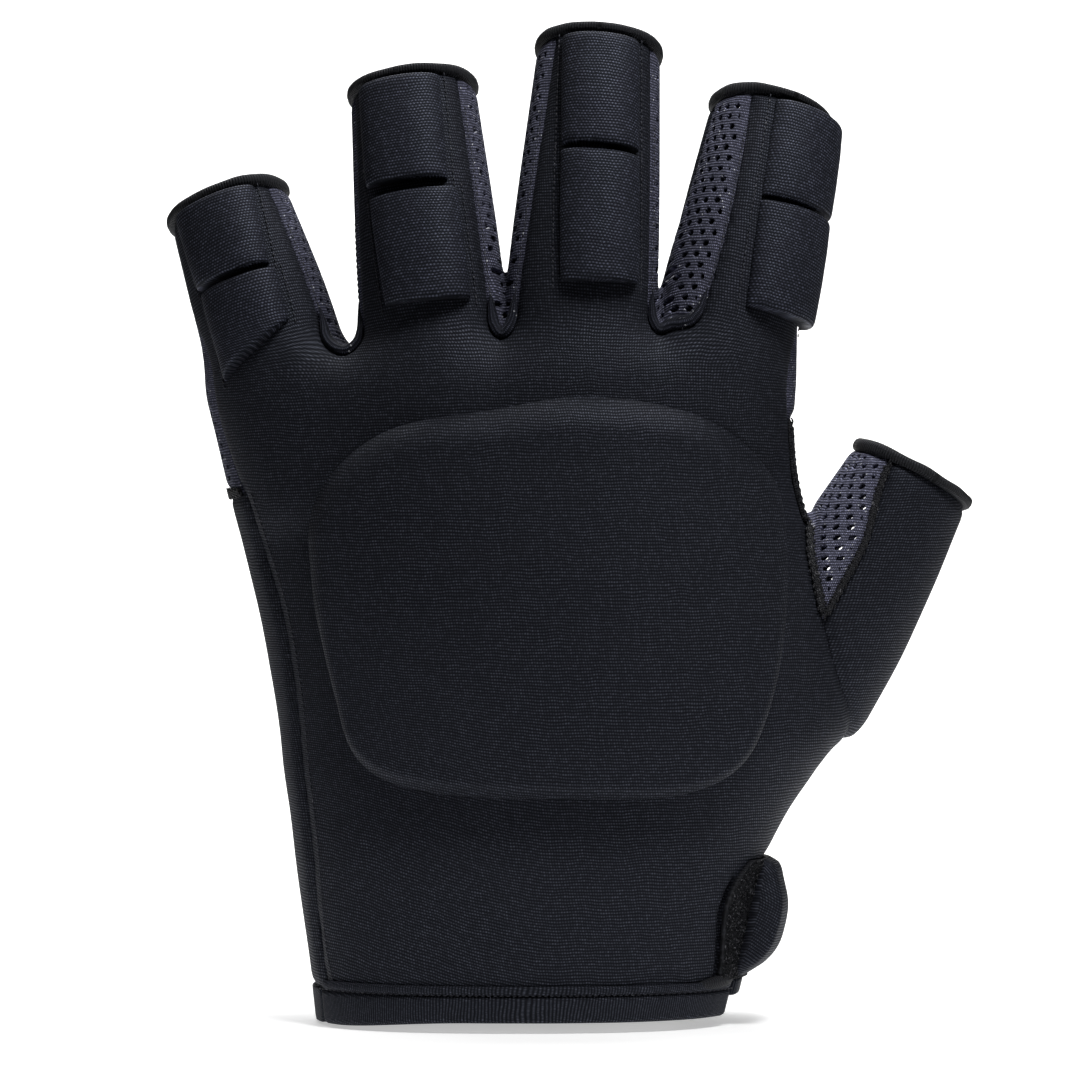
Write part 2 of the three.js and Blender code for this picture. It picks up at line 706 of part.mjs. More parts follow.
// The back pad: a crowned plate with a rolled edge, laid on the back of the hand.
const padCurve = new THREE.CatmullRomCurve3(
  padOutline.map(({ x, z }) => new THREE.Vector3(x, 0, z)),
  true,
);
function backSurfaceY(x, z) {
  const left = readTable(handSections, "z", "left", z);
  const right = readTable(handSections, "z", "right", z);
  const back = readTable(handSections, "z", "back", z);
  const u = Math.min(Math.abs((x - (left + right) / 2) / ((right - left) / 2)), 1);
  return middleY(x, z) - back * (1 - u ** HAND_ROUNDNESS) ** (1 / HAND_ROUNDNESS);
}
function padSolid() {
  const ringAt = (share, proud) =>
    angles(PAD.sides).map((angle) => {
      const edge = padCurve.getPoint(angle / (2 * Math.PI));
      const x = lerp(PAD.centreX, edge.x, share);
      const z = lerp(PAD.centreZ, edge.z, share);
      return new THREE.Vector3(x, backSurfaceY(x, z) - proud, z);
    });
  const under = [0.25, 0.6, 1].map((share) => ringAt(share, -1));
  const over = range(PAD.rings, 0, Math.PI / 2).map((turn) =>
    ringAt(
      lerp(1, 0.25, (1 - Math.cos(turn)) ** 1.4),
      lerp(PAD.edgeProud, PAD.proud, Math.sin(turn) ** 0.8),
    ),
  );
  return solidOf(loft([...under, ...over])).subtract(grownBody);
}
addPiece("back_pad", padSolid(), "neoprene");

// Pieces that lie on the wrist: between two growths of the hand, over a stretch of its girth.
function wristPiece(startDegrees, endDegrees, zAt, growInner, growOuter, columns, rows) {
  const sheet = (growAt) => (u, v) => {
    const angle = radians(lerp(startDegrees, endDegrees, u));
    const [low, high] = zAt(u);
    return handPoint(lerp(low, high, v), angle, growAt(u, v));
  };
  return solidOf(slab(sheet(growInner), sheet(growOuter), columns, rows));
}
const hemHeights = () => [0, HEM.height];
const hemOuter = (u, v) =>
  HEM.proud * Math.sin(Math.PI * clamp(v, HEM.roundShare, 1 - HEM.roundShare));
for (const [name, startDegrees, endDegrees] of [
  ["hem_back", HEM_DEGREES.sideSeam, HEM_DEGREES.slit],
  ["hem_palm", HEM_DEGREES.palmStart, HEM_DEGREES.palmEnd],
]) {
  const hem = wristPiece(startDegrees, endDegrees, hemHeights, () => -WALL, hemOuter, 17, 3);
  addPiece(name, hem, "neoprene");
}

// The loop patch under the strap's end, and the strap with its round free end.
const patchHeights = () => [LOOP_PATCH.lowZ, LOOP_PATCH.highZ];
const loopPatch = wristPiece(
  LOOP_PATCH.startDegrees,
  LOOP_PATCH.endDegrees,
  patchHeights,
  () => GAP,
  () => GAP + LOOP_PATCH.thickness,
  9,
  3,
);
addPiece("loop_patch", loopPatch, "loop");

const strapLift = (u) =>
  2 * GAP +
  LOOP_PATCH.thickness +
  STRAP.endStandOff * THREE.MathUtils.smoothstep(u, STRAP.liftFrom, 1);
const strapHeights = (u) => {
  const middle = (STRAP.lowZ + STRAP.highZ) / 2;
  const round = clamp((u - STRAP.roundFrom) / (1 - STRAP.roundFrom), 0, 1);
  const shrink = Math.sqrt(1 - (1 - STRAP.endShare ** 2) * round ** 2);
  const reach = ((STRAP.highZ - STRAP.lowZ) / 2) * shrink;
  return [middle - reach, middle + reach];
};
const strapOuter = (u, v) =>
  strapLift(u) + STRAP.thickness * lerp(STRAP.edgeShare, 1, Math.sin(Math.PI * v));
const strap = wristPiece(
  STRAP.startDegrees,
  STRAP.endDegrees,
  strapHeights,
  strapLift,
  strapOuter,
  20,
  4,
);
addPiece("wrist_strap", strap, "neoprene");

export default glove;
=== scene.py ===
"""Dresses the field hockey glove: knit-faced panels, perforated strips, foam guards and trim."""

import math

import bmesh
import bpy
import numpy as np
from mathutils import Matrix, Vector
from mathutils.kdtree import KDTree


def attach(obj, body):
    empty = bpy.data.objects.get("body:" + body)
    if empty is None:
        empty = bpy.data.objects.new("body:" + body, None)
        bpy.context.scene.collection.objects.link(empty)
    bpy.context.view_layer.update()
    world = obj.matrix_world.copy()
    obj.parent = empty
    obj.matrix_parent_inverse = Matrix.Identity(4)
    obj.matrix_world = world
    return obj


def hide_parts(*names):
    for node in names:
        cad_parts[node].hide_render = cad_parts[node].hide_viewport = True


bl_info = {
    "name": "Field hockey glove",
    "version": (1, 0, 0),
    "blender": (4, 5, 0),
    "location": "3D View > Sidebar > Glove",
    "description": "Builds the cloth, foam and trim of an open-fingered field hockey glove",
    "category": "Object",
}

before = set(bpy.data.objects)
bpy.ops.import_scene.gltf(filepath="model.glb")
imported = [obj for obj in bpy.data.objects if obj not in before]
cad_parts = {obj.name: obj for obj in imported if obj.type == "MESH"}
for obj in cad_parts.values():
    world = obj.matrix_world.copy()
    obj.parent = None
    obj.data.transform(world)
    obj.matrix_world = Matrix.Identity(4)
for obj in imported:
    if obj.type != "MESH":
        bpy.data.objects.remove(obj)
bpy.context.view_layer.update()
MM = 0.001
# the cloth's coordinates are stored in centimetres
UV_TO_MM = 10.0
BODY = "root"

# ---- Measures, in millimetres ----
WALL, MESH_WALL = 2.1, 1.3
# cloth left whole between the mesh's holes and its edge
HOLE_MARGIN = 1.5
HAND_ROUNDNESS = 2.35
FINGER_ROUNDNESS = 2.2
TAPE_ROUNDNESS = 2.4
ARCH_CROWN_X, ARCH_LITTLE_R, ARCH_INDEX_R, ARCH_FULL_Z = 13.0, 172.0, 80.0, 100.0
CURL_Z, CURL_R = 105.0, 225.0

# z, left, right, depth of the back, depth of the palm
HAND = np.array([
    (0, -36.6, 37.4, 23.0, 21.5),
    (12, -38.0, 40.4, 22.8, 22.0),
    (27, -40.2, 43.2, 22.3, 23.5),
    (36, -41.4, 47.6, 22.0, 24.6),
    (44, -42.6, 53.1, 21.6, 25.4),
    (52, -43.5, 58.6, 21.2, 25.6),
    (62, -45.2, 59.0, 20.4, 25.0),
    (73, -47.5, 57.6, 19.5, 22.8),
    (84, -50.3, 54.2, 18.5, 20.0),
    (95, -53.2, 51.0, 17.4, 17.4),
    (106, -55.6, 49.6, 16.0, 15.6),
    (114, -57.2, 49.4, 14.6, 14.0),
    (126, -58.0, 49.0, 12.6, 12.4),
])
# x, height of the crotch between the fingers there
CROTCH = np.array([(-60, 117.5), (-31, 119.5), (-2, 120.8), (29, 122.0), (50, 121.0)])

# name, root x, z, half width, depth, low share, half width, depth, tip x, z, half width, depth
FINGERS = {
    "little": ((-35.0, 92, 11.6, 12.4), (0.62, 12.5, 11.2), (-53.5, 146.6, 11.2, 9.8)),
    "ring": ((-13.4, 104, 13.2, 13.0), (0.45, 13.2, 12.0), (-19.5, 167.4, 11.4, 10.4)),
    "middle": ((9.2, 104, 13.8, 13.2), (0.42, 13.6, 12.2), (14.3, 174.6, 11.2, 10.6)),
    "index": ((32.7, 104, 12.8, 12.8), (0.44, 12.8, 11.8), (45.6, 163.4, 10.8, 10.2)),
    "thumb": ((44.0, 48, 13.8, 13.5), (0.52, 14.2, 12.4), (71.4, 97.6, 11.6, 10.4)),
}
THUMB_DEPTH = (9.5, 13.0)
THUMB_ROLL = 24.0
# turn of the thumb's mesh panel from its back, and how far its seam with the hand is moved over
THUMB_SEAM_TURN, THUMB_SIDE_BIAS = math.radians(46), 1.6
# share of each finger at which its root is rounded off, and how softly
THUMB_ROOT, FINGER_ROOT = (0.1, 9.0), (0.0, 4.0)
# how softly the hand's top, the fingers, the knuckles and the thumb run into each other
HAND_END_BLEND, CROTCH_BLEND, KNUCKLE_BLEND, THUMB_BLEND = 8.0, 1.6, 6.0, 2.5
# a finger's field is worked out this far round it, and stands for a value beyond that
FINGER_REACH, FAR_FROM_FINGER = 24.0, 30.0
FOUR = ("little", "ring", "middle", "index")

# the fingers beside each crotch, and the heights where its tape and its stitches end
CROTCHES = [
    ("little", "ring", 128.5, 143.0), ("ring", "middle", 130.5, 164.0),
    ("middle", "index", 131.0, 160.0),
]

# z, offset of the back panel's edge seam from the middle surface
EDGE_SEAM = np.array([
    (0, -9.0), (25, -9.0), (31, 1.0), (50, 1.0), (72, 1.0), (84, -3.6), (95, -4.0),
    (104, -4.6), (114, -7.6), (123, -9.6), (132, -7.0), (175, -7.0),
])
# z, offset of the same seam on the little finger's side of the hand
LITTLE_SEAM = np.array([(90, -9.0), (94, -8.4), (100, -7.2), (108, -6.6), (114, -7.6)])
# x, offset of the same seam on the fingers
FINGER_SEAM = np.array([
    (-60, -4.6), (-46, -4.6), (-36, -4.8), (-30, -5.2), (-20, -5.2), (-10, -6.6), (-3, -7.4),
    (3, -8.2), (12, -8.0), (20, -6.6), (26, -6.8), (31, -10.2), (40, -10.0), (46, -5.6),
    (60, -4.6),
])
FINGER_SEAM_Z = (113.0, 127.0)
STRIP_DEPTH, STRIP_Z, LITTLE_STRIP_Z = 11.5, 108.0, 94.5
# z, x of the side panel's seam with the back panel
SIDE_SEAM = np.array([
    (0, -34.3), (6, -34.4), (14, -36.0), (30, -37.3), (45, -39.1), (57, -40.3),
    (72, -42.9), (82, -45.9), (94.5, -50.0),
])
SIDE_PALM_X = -33.0
# height of the panels' lower edge and of the hem's top, and turns in degrees round the cuff
HEM_TOP, HEM_HIGH, HEM_SEAM, PALM_WELT = 5.8, 6.2, -158.5, (52, 168)
# radius that turns round the cuff are made lengths with, nearly
CUFF_RADIUS = 38

# finger, part, then four corners as share of the finger and turn in degrees: two low, two high
GUARDS = [
    ("little", "tip", ((0.74, -28), (0.733, 36), (0.98, -31), (0.98, 48))),
    ("little", "base", ((0.448, -29), (0.553, 36), (0.718, -26), (0.713, 40))),
    ("ring", "tip", ((0.701, -36), (0.69, 30), (0.98, -38), (0.98, 34))),
    ("ring", "base", ((0.367, -25), (0.365, 38), (0.66, -33), (0.664, 37))),
    ("middle", "tip", ((0.708, -23), (0.706, 37), (0.98, -33), (0.98, 33))),
    ("middle", "base", ((0.373, -14), (0.386, 42), (0.691, -23), (0.691, 37))),
    ("index", "tip", ((0.696, -11), (0.71, 72), (0.98, -18), (0.98, 68))),
    ("index", "base", ((0.381, -4), (0.382, 72), (0.681, -11), (0.7, 72))),
]

PAD_CENTRE = (4.5, 75.0)
# x, z round the back pad's edge
PAD_OUTLINE = [
    (12.6, 111.2), (32.0, 107.8), (44.0, 98.5), (47.0, 84.0), (45.2, 63.0), (39.5, 47.5),
    (28.0, 41.2), (8.0, 40.6), (-15.5, 41.6), (-27.6, 46.5), (-32.4, 60.0), (-36.4, 78.0),
    (-36.0, 93.5), (-24.0, 105.0), (-4.0, 109.0),
]

# z, turn in degrees of the back panel's folded edge at the closure, and of the loop patch's edge
FOLD_EDGE = np.array([
    (6.0, -33.0), (10.5, -34.0), (16.0, -35.6), (20.5, -36.0), (26.0, -32.0), (30.0, -24.0)
])
PATCH_EDGE = np.array([
    (6.0, -30.6), (10.5, -31.6), (16.0, -33.2), (20.5, -33.6), (26.0, -29.6), (30.0, -21.6)
])
FOLD_TOP, FOLD_END_DEGREES, GROOVE_WIDTH = 30.0, -29.0, 1.4
# z, how far the strap's free end stands off the cuff
STRAP_STAND = np.array([
    (8.4, 1.2), (9.1, 2.2), (10.6, 4.1), (12.7, 5.6), (15.6, 6.4), (20.8, 6.5), (25.6, 4.6),
    (28.0, 3.2), (28.9, 1.4),
])
# z, turn in degrees where the strap's free end stops
STRAP_END = np.array([(8.4, -20.0), (11.0, -23.0), (15.0, -21.5), (20.5, -19.0), (28.9, -16.0)])


def smooth_table(rows, at, column=1):
    """Values of a table's column, on a smooth curve through its rows."""
    xs, ys = rows[:, 0], rows[:, column]
    at = np.clip(at, xs[0], xs[-1])
    slope = np.empty_like(ys)
    slope[1:-1] = (ys[2:] - ys[:-2]) / (xs[2:] - xs[:-2])
    slope[0] = (ys[1] - ys[0]) / (xs[1] - xs[0])
    slope[-1] = (ys[-1] - ys[-2]) / (xs[-1] - xs[-2])
    i = np.clip(np.searchsorted(xs, at, "right") - 1, 0, len(xs) - 2)
    span = xs[i + 1] - xs[i]
    t = (at - xs[i]) / span
    t2, t3 = t * t, t * t * t
    return (
        (2 * t3 - 3 * t2 + 1) * ys[i]
        + (t3 - 2 * t2 + t) * slope[i] * span
        + (3 * t2 - 2 * t3) * ys[i + 1]
        + (t3 - t2) * slope[i + 1] * span
    )


def smoothstep(low, high, at):
    t = np.clip((at - low) / (high - low), 0, 1)
    return t * t * (3 - 2 * t)


def blend_min(a, b, reach):
    """The lesser of two fields, rounded off where they meet."""
    h = np.clip(0.5 + 0.5 * (b - a) / reach, 0, 1)
    return b + (a - b) * h - reach * h * (1 - h)


def blend_max(a, b, reach):
    """The greater of two fields, rounded off where they meet."""
    return -blend_min(-a, -b, reach)


def unit(v):
    return v / np.maximum(np.linalg.norm(v, axis=-1, keepdims=True), 1e-9)


def dot(a, b):
    return np.einsum("...i,...i->...", a, b)


def signed_power(value, power):
    return np.sign(value) * np.abs(value) ** power


def oval(turn, roundness):
    """Width and depth coordinates, at a turn, of a round-cornered oval's outline."""
    return signed_power(np.cos(turn), 2 / roundness), signed_power(np.sin(turn), 2 / roundness)


# ---- The glove's outside, as a field that is 0 on it and under 0 within ----
def middle_y(x, z):
    """Depth of the surface that runs between the back and the palm."""
    radius = np.where(x < ARCH_CROWN_X, ARCH_LITTLE_R, ARCH_INDEX_R)
    arch = (x - ARCH_CROWN_X) ** 2 / (2 * radius) * smoothstep(0, ARCH_FULL_Z, z)
    return arch + np.maximum(z - CURL_Z, 0) ** 2 / (2 * CURL_R)


def seam_y(x, z):
    """Depth of the back panel's edge seam."""
    share = smoothstep(*FINGER_SEAM_Z, z)
    little = (x < FINGERS["little"][0][0]) & (z > LITTLE_SEAM[0, 0]) & (z < LITTLE_SEAM[-1, 0])
    hand = np.where(little, smooth_table(LITTLE_SEAM, z), smooth_table(EDGE_SEAM, z))
    offset = hand * (1 - share) + smooth_table(FINGER_SEAM, x) * share
    return middle_y(x, z) + offset


def past_seam(p):
    """How far points lie to the palm side of the back panel's edge seam."""
    return p[:, 1] - seam_y(p[:, 0], p[:, 2])


def oval_field(u, v, a, b, roundness):
    """Distance outside a round-cornered oval, nearly, from its scaled coordinates."""
    u, v = np.abs(u), np.abs(v)
    rho = np.maximum((u**roundness + v**roundness) ** (1 / roundness), 1e-3)
    power = roundness - 1
    steep = np.sqrt(((u / rho) ** power / a) ** 2 + ((v / rho) ** power / b) ** 2)
    return (rho - 1) / steep


def hand_local(p):
    """Scaled width and depth coordinates on the hand, and its half width and depth there."""
    x, y, z = p.T
    left, right, back, palm = (smooth_table(HAND, z, k) for k in (1, 2, 3, 4))
    half = (right - left) / 2
    d = y - middle_y(x, z)
    depth = np.where(d < 0, back, palm)
    return (x - (left + right) / 2) / half, d / depth, half, depth


def hand_field(p):
    top = np.interp(p[:, 0], CROTCH[:, 0], CROTCH[:, 1])
    return blend_max(oval_field(*hand_local(p), HAND_ROUNDNESS), p[:, 2] - top, HAND_END_BLEND)


def finger_centre(name, share):
    (rx, rz, _, _), _, (tx, tz, _, _) = FINGERS[name]
    x, z = rx + (tx - rx) * share, rz + (tz - rz) * share
    if name == "thumb":
        y = THUMB_DEPTH[0] + (THUMB_DEPTH[1] - THUMB_DEPTH[0]) * share
    else:
        y = middle_y(x, z)
    return np.stack([x, y, z], -1)


def finger_frame(name, share):
    """Centre, axis, width direction, palm direction, half width and depth at a share."""
    share = np.asarray(share, float)
    near = 0.01
    centre = finger_centre(name, share)
    axis = unit(finger_centre(name, share + near) - finger_centre(name, share - near))
    if name == "thumb":
        roll = np.full(share.shape, math.radians(THUMB_ROLL))
    else:
        x, z = centre[..., 0], centre[..., 2]
        roll = np.arctan((middle_y(x + near, z) - middle_y(x - near, z)) / (2 * near))
    palm = np.stack([-np.sin(roll), np.cos(roll), np.zeros_like(roll)], -1)
    palm = unit(palm - dot(palm, axis)[..., None] * axis)
    across = np.cross(palm, axis)
    (_, _, w0, d0), (s1, w1, d1), (_, _, w2, d2) = FINGERS[name]
    rows = np.array([(0, w0, d0), (s1, w1, d1), (1, w2, d2)], float)
    return centre, axis, across, palm, smooth_table(rows, share, 1), smooth_table(rows, share, 2)


def finger_length(name):
    (rx, rz, _, _), _, (tx, tz, _, _) = FINGERS[name]
    return math.hypot(tx - rx, tz - rz)


def finger_line(name, z):
    """x of a finger's middle line at a height."""
    (rx, rz, *_), _, (tx, tz, *_) = FINGERS[name]
    return rx + (tx - rx) * (z - rz) / (tz - rz)


def past_end(name, p):
    """How far points lie past a finger's opening."""
    return (finger_local(name, p)[0] - 1) * finger_length(name)


def finger_local(name, p):
    """Share along the finger, and scaled width and depth coordinates, of each point."""
    (rx, rz, _, _), _, (tx, tz, _, _) = FINGERS[name]
    length = finger_length(name)
    share = ((p[:, 0] - rx) * (tx - rx) + (p[:, 2] - rz) * (tz - rz)) / length**2
    for _ in range(2):
        centre, axis, *_ = finger_frame(name, share)
        share = share + dot(p - centre, axis) / length
    centre, axis, across, palm, half, depth = finger_frame(name, share)
    d = p - centre
    return share, dot(d, across) / half, dot(d, palm) / depth, half, depth


def finger_field(name, p):
    out = np.full(len(p), FAR_FROM_FINGER)
    (rx, rz, *_), _, (tx, tz, *_) = FINGERS[name]
    x, _, z = p.T
    near = (
        (x > min(rx, tx) - FINGER_REACH) & (x < max(rx, tx) + FINGER_REACH)
        & (z > rz - FINGER_REACH) & (z < tz + FINGER_REACH)
    )
    if near.any():
        share, u, v, half, depth = finger_local(name, p[near])
        tube = oval_field(u, v, half, depth, FINGER_ROUNDNESS)
        start, soft = THUMB_ROOT if name == "thumb" else FINGER_ROOT
        out[near] = blend_max(tube, (start - share) * finger_length(name), soft)
    return out


def hand_and_fingers(p):
    fingers = finger_field("little", p)
    for name in FOUR[1:]:
        fingers = blend_min(fingers, finger_field(name, p), CROTCH_BLEND)
    return blend_min(hand_field(p), fingers, KNUCKLE_BLEND)


def glove_field(p):
    return blend_min(hand_and_fingers(p), finger_field("thumb", p), THUMB_BLEND)


def field_normal(p, field=glove_field):
    """The field's steepest direction, from its change over a short step each way."""
    step = 0.05
    out = np.empty_like(p)
    for k in range(3):
        d = np.zeros(3)
        d[k] = step
        out[:, k] = (field(p + d) - field(p - d)) / (2 * step)
    return out


def settle(p, rounds):
    """Moves points onto the glove's outside, and gives the outward normals there."""
    p = np.array(p, float)
    for _ in range(rounds):
        g = field_normal(p)
        steep = np.maximum(dot(g, g), 0.05)
        p -= (glove_field(p) / steep)[:, None] * g
    return p, unit(field_normal(p))


# ---- From field to cut panels ----
GRID_LOW, GRID_HIGH = np.array([-68.0, -29.0, -2.0]), np.array([88.0, 36.0, 184.0])


def surface_net(step):
    """A mesh of the glove's outside, one point to each grid cell that it crosses."""
    counts = np.ceil((GRID_HIGH - GRID_LOW) / step).astype(int)
    axes = [GRID_LOW[k] + step * np.arange(counts[k]) for k in range(3)]
    grid = np.stack(np.meshgrid(*axes, indexing="ij"), -1).reshape(-1, 3)
    value = glove_field(grid).reshape(counts)
    inside = value < 0
    corners = [
        (slice(i, counts[0] - 1 + i), slice(j, counts[1] - 1 + j), slice(k, counts[2] - 1 + k))
        for i in (0, 1) for j in (0, 1) for k in (0, 1)
    ]
    total = sum(inside[c].astype(np.int8) for c in corners)
    cells = np.argwhere((total > 0) & (total < 8))
    index = np.full(counts - 1, -1)
    index[tuple(cells.T)] = np.arange(len(cells))
    points = GRID_LOW + (cells + 0.5) * step
    quads = []
    for axis in range(3):
        a, b = (axis + 1) % 3, (axis + 2) % 3
        low = [slice(None)] * 3
        high = [slice(None)] * 3
        low[axis], high[axis] = slice(0, -1), slice(1, None)
        change = inside[tuple(low)] != inside[tuple(high)]
        at = np.argwhere(change)
        at = at[(at[:, a] > 0) & (at[:, b] > 0) & (at[:, a] < counts[a] - 1)
                & (at[:, b] < counts[b] - 1)]
        outward = inside[tuple(at.T)]
        ring = []
        for da, db in ((1, 1), (0, 1), (0, 0), (1, 0)):
            cell = at.copy()
            cell[:, a] -= da
            cell[:, b] -= db
            ring.append(index[tuple(cell.T)])
        ring = np.stack(ring, -1)
        quads.append(np.where(outward[:, None], ring, ring[:, ::-1]))
    quads = np.concatenate(quads)
    points, _ = settle(points, 4)
    faces = np.concatenate([quads[:, [0, 1, 2]], quads[:, [0, 2, 3]]])
    return points, faces


def split(points, faces, value, snap=0.1):
    """Cuts triangles where a value crosses 0, and tells which of the faces are over 0."""
    value = np.where(np.abs(value) < snap, 0.0, value)
    over = value[faces] >= 0
    count = over.sum(1)
    mixed = (count == 1) | (count == 2)
    whole = faces[~mixed]
    whole_over = count[~mixed] == 3
    f, o = faces[mixed], over[mixed]
    odd_over = count[mixed] == 1
    first = np.argmax(o == odd_over[:, None], axis=1)
    rolled = np.take_along_axis(f, (first[:, None] + np.arange(3)) % 3, 1)
    a, b, c = rolled.T
    pairs = np.sort(np.concatenate([np.stack([a, b], -1), np.stack([a, c], -1)]), 1)
    unique, back = np.unique(pairs, axis=0, return_inverse=True)
    back = back.reshape(-1)
    va, vb = value[unique[:, 0]], value[unique[:, 1]]
    t = np.where(va == vb, 0.5, va / np.where(va == vb, 1, va - vb))
    cut = points[unique[:, 0]] * (1 - t)[:, None] + points[unique[:, 1]] * t[:, None]
    ids = len(points) + np.arange(len(unique))
    ids = np.where(va == 0, unique[:, 0], np.where(vb == 0, unique[:, 1], ids))
    ab, ac = ids[back[: len(a)]], ids[back[len(a):]]
    made = np.concatenate([
        np.stack([a, ab, ac], -1), np.stack([ab, b, c], -1), np.stack([ab, c, ac], -1)
    ])
    made_over = np.concatenate([odd_over, ~odd_over, ~odd_over])
    sound = (made[:, 0] != made[:, 1]) & (made[:, 1] != made[:, 2]) & (made[:, 2] != made[:, 0])
    return (
        np.concatenate([points, cut]),
        np.concatenate([whole, made[sound]]),
        np.concatenate([whole_over, made_over[sound]]),
    )


def compact(points, faces):
    """A mesh without its unused points."""
    used, faces = np.unique(faces, return_inverse=True)
    return points[used], faces.reshape(-1, 3)


def cut(points, faces, value, over=True, snap=0.1):
    """The part of a mesh where a value is over 0, or the part where it is under."""
    points, faces, is_over = split(points, faces, value, snap)
    return compact(points, faces[is_over == over])


def halve(points, faces):
    """Each triangle as four."""
    pairs = np.sort(np.concatenate([faces[:, [0, 1]], faces[:, [1, 2]], faces[:, [2, 0]]]), 1)
    unique, back = np.unique(pairs, axis=0, return_inverse=True)
    mid = (points[unique[:, 0]] + points[unique[:, 1]]) / 2
    m = len(points) + back.reshape(3, -1)
    a, b, c = faces.T
    ab, bc, ca = m
    return np.concatenate([points, mid]), np.concatenate([
        np.stack([a, ab, ca], -1), np.stack([ab, b, bc], -1),
        np.stack([ca, bc, c], -1), np.stack([ab, bc, ca], -1),
    ])


def border_edges(faces):
    """Directed edges that only one triangle has."""
    edges = np.concatenate([faces[:, [0, 1]], faces[:, [1, 2]], faces[:, [2, 0]]])
    size = int(faces.max()) + 1
    key, twin = edges[:, 0] * size + edges[:, 1], edges[:, 1] * size + edges[:, 0]
    return edges[~np.isin(key, twin)]


def largest_part(points, faces):
    """The biggest connected patch of a cut, without crumbs."""
    parent = np.arange(len(points))
    for _ in range(200):
        low = parent[faces].min(1)
        before = parent.copy()
        for k in range(3):
            np.minimum.at(parent, faces[:, k], low)
        parent = parent[parent]
        if (parent == before).all():
            break
    label = parent[faces[:, 0]]
    names, counts = np.unique(label, return_counts=True)
    return compact(points, faces[label == names[np.argmax(counts)]])


def from_border(points, faces, limit=6.0):
    """Distance of each point from the mesh's border."""
    targets = points[np.unique(border_edges(faces))]
    tree = KDTree(len(targets))
    for i, p in enumerate(targets):
        tree.insert(p, i)
    tree.balance()
    return np.array([min(tree.find(p)[2], limit) for p in points])


# ---- Coordinates that the knit follows ----
def arc_table(a, b, roundness):
    t = np.linspace(0, np.pi / 2, 400)
    u, v = a * np.sin(t) ** (2 / roundness), b * np.cos(t) ** (2 / roundness)
    return u / a, np.concatenate([[0], np.cumsum(np.hypot(np.diff(u), np.diff(v)))])


# mean half width of the hand, radius of a finger, and radius and stretch of the thumb's knit
HAND_HALF, FINGER_RADIUS, THUMB_RADIUS, THUMB_STRETCH = 46.0, 11.8, 12.8, 1.06
HAND_ARC = arc_table(HAND_HALF, 20.0, HAND_ROUNDNESS)
# how far the knit's rows are drawn up at the cuff's little-finger side
ROW_SLANT = -11.0


def knit_coordinates(p, part="hand"):
    """Distance round and along the hand, turning to each finger's own direction on it."""
    x, y, z = p.T
    if part == "thumb":
        _, fu, fv, _, _ = finger_local("thumb", p)
        return np.stack([THUMB_RADIUS * np.arctan2(fu, -fv), THUMB_STRETCH * z], -1)
    left, right = smooth_table(HAND, z, 1), smooth_table(HAND, z, 2)
    half = (right - left) / 2
    u = np.clip((x - (left + right) / 2) / half, -1, 1)
    arc = np.interp(np.abs(u), *HAND_ARC) - np.abs(u) * HAND_HALF
    behind = y > middle_y(x, z)
    far_arc = 2 * (HAND_ARC[1][-1] - HAND_HALF) - arc
    round_hand = x + np.sign(u) * np.where(behind, far_arc, arc)
    slant = ROW_SLANT * (1 - smoothstep(-44, 8, x)) * (1 - smoothstep(34, 74, z)) * ~behind
    total = np.zeros(len(p))
    out_a, out_b = np.zeros(len(p)), np.zeros(len(p))
    for name in FOUR:
        share, fu, fv, half_f, depth = finger_local(name, p)
        near = oval_field(fu, fv, half_f, depth, FINGER_ROUNDNESS)
        start = smoothstep(106, 128, z)
        weight = start * np.exp(-np.clip(near, -4, 20) / 1.6)
        (rx, rz, *_), _, _ = FINGERS[name]
        turn = np.arctan2(fu, -fv)
        out_a += weight * (rx + FINGER_RADIUS * turn)
        out_b += weight * (rz + share * finger_length(name))
        total += weight
    share = np.clip(total, 0, 1)
    scale = share / np.maximum(total, 1e-9)
    return np.stack([
        round_hand * (1 - share) + out_a * scale, (z + slant) * (1 - share) + out_b * scale
    ], -1)


# ---- Making objects ----
def make_object(name, points, faces, material, uv=None):
    """A smooth mesh object at the origin, from points in millimetres."""
    mesh = bpy.data.meshes.new(name)
    mesh.from_pydata((np.asarray(points) * MM).tolist(), [], [list(map(int, f)) for f in faces])
    if uv is not None:
        layer = mesh.uv_layers.new(name="knit")
        loops = np.empty(len(mesh.loops), int)
        mesh.loops.foreach_get("vertex_index", loops)
        stored = np.asarray(uv)[loops] * (1 / UV_TO_MM)
        layer.data.foreach_set("uv", stored.astype(np.float32).ravel())
    mesh.polygons.foreach_set("use_smooth", [True] * len(mesh.polygons))
    mesh.materials.append(material)
    mesh.validate()
    mesh.update()
    made = bpy.data.objects.new(name, mesh)
    bpy.context.scene.collection.objects.link(made)
    return made


def dress(piece, slot, *nodes):
    """Puts a piece on the glove's body, in place of the nodes it stands for; the slot is not used.
    """
    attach(piece, BODY)
    if nodes:
        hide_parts(*nodes)
    return piece


def walled(points, faces, normals, thickness):
    """Gives a patch an inner side and a rim."""
    n = len(points)
    edges = border_edges(faces)
    rim = np.concatenate([
        np.stack([edges[:, 1], edges[:, 0], edges[:, 0] + n], -1),
        np.stack([edges[:, 1], edges[:, 0] + n, edges[:, 1] + n], -1),
    ])
    inner = points - normals * np.asarray(thickness).reshape(-1, 1)
    return np.concatenate([points, inner]), np.concatenate([faces, faces[:, ::-1] + n, rim])


def sunk(points, normals, from_edge, depth, reach):
    """Rolls a panel's border under, where it is sewn to the next panel."""
    return points - normals * (depth * np.exp(-((from_edge / reach) ** 2)))[:, None]


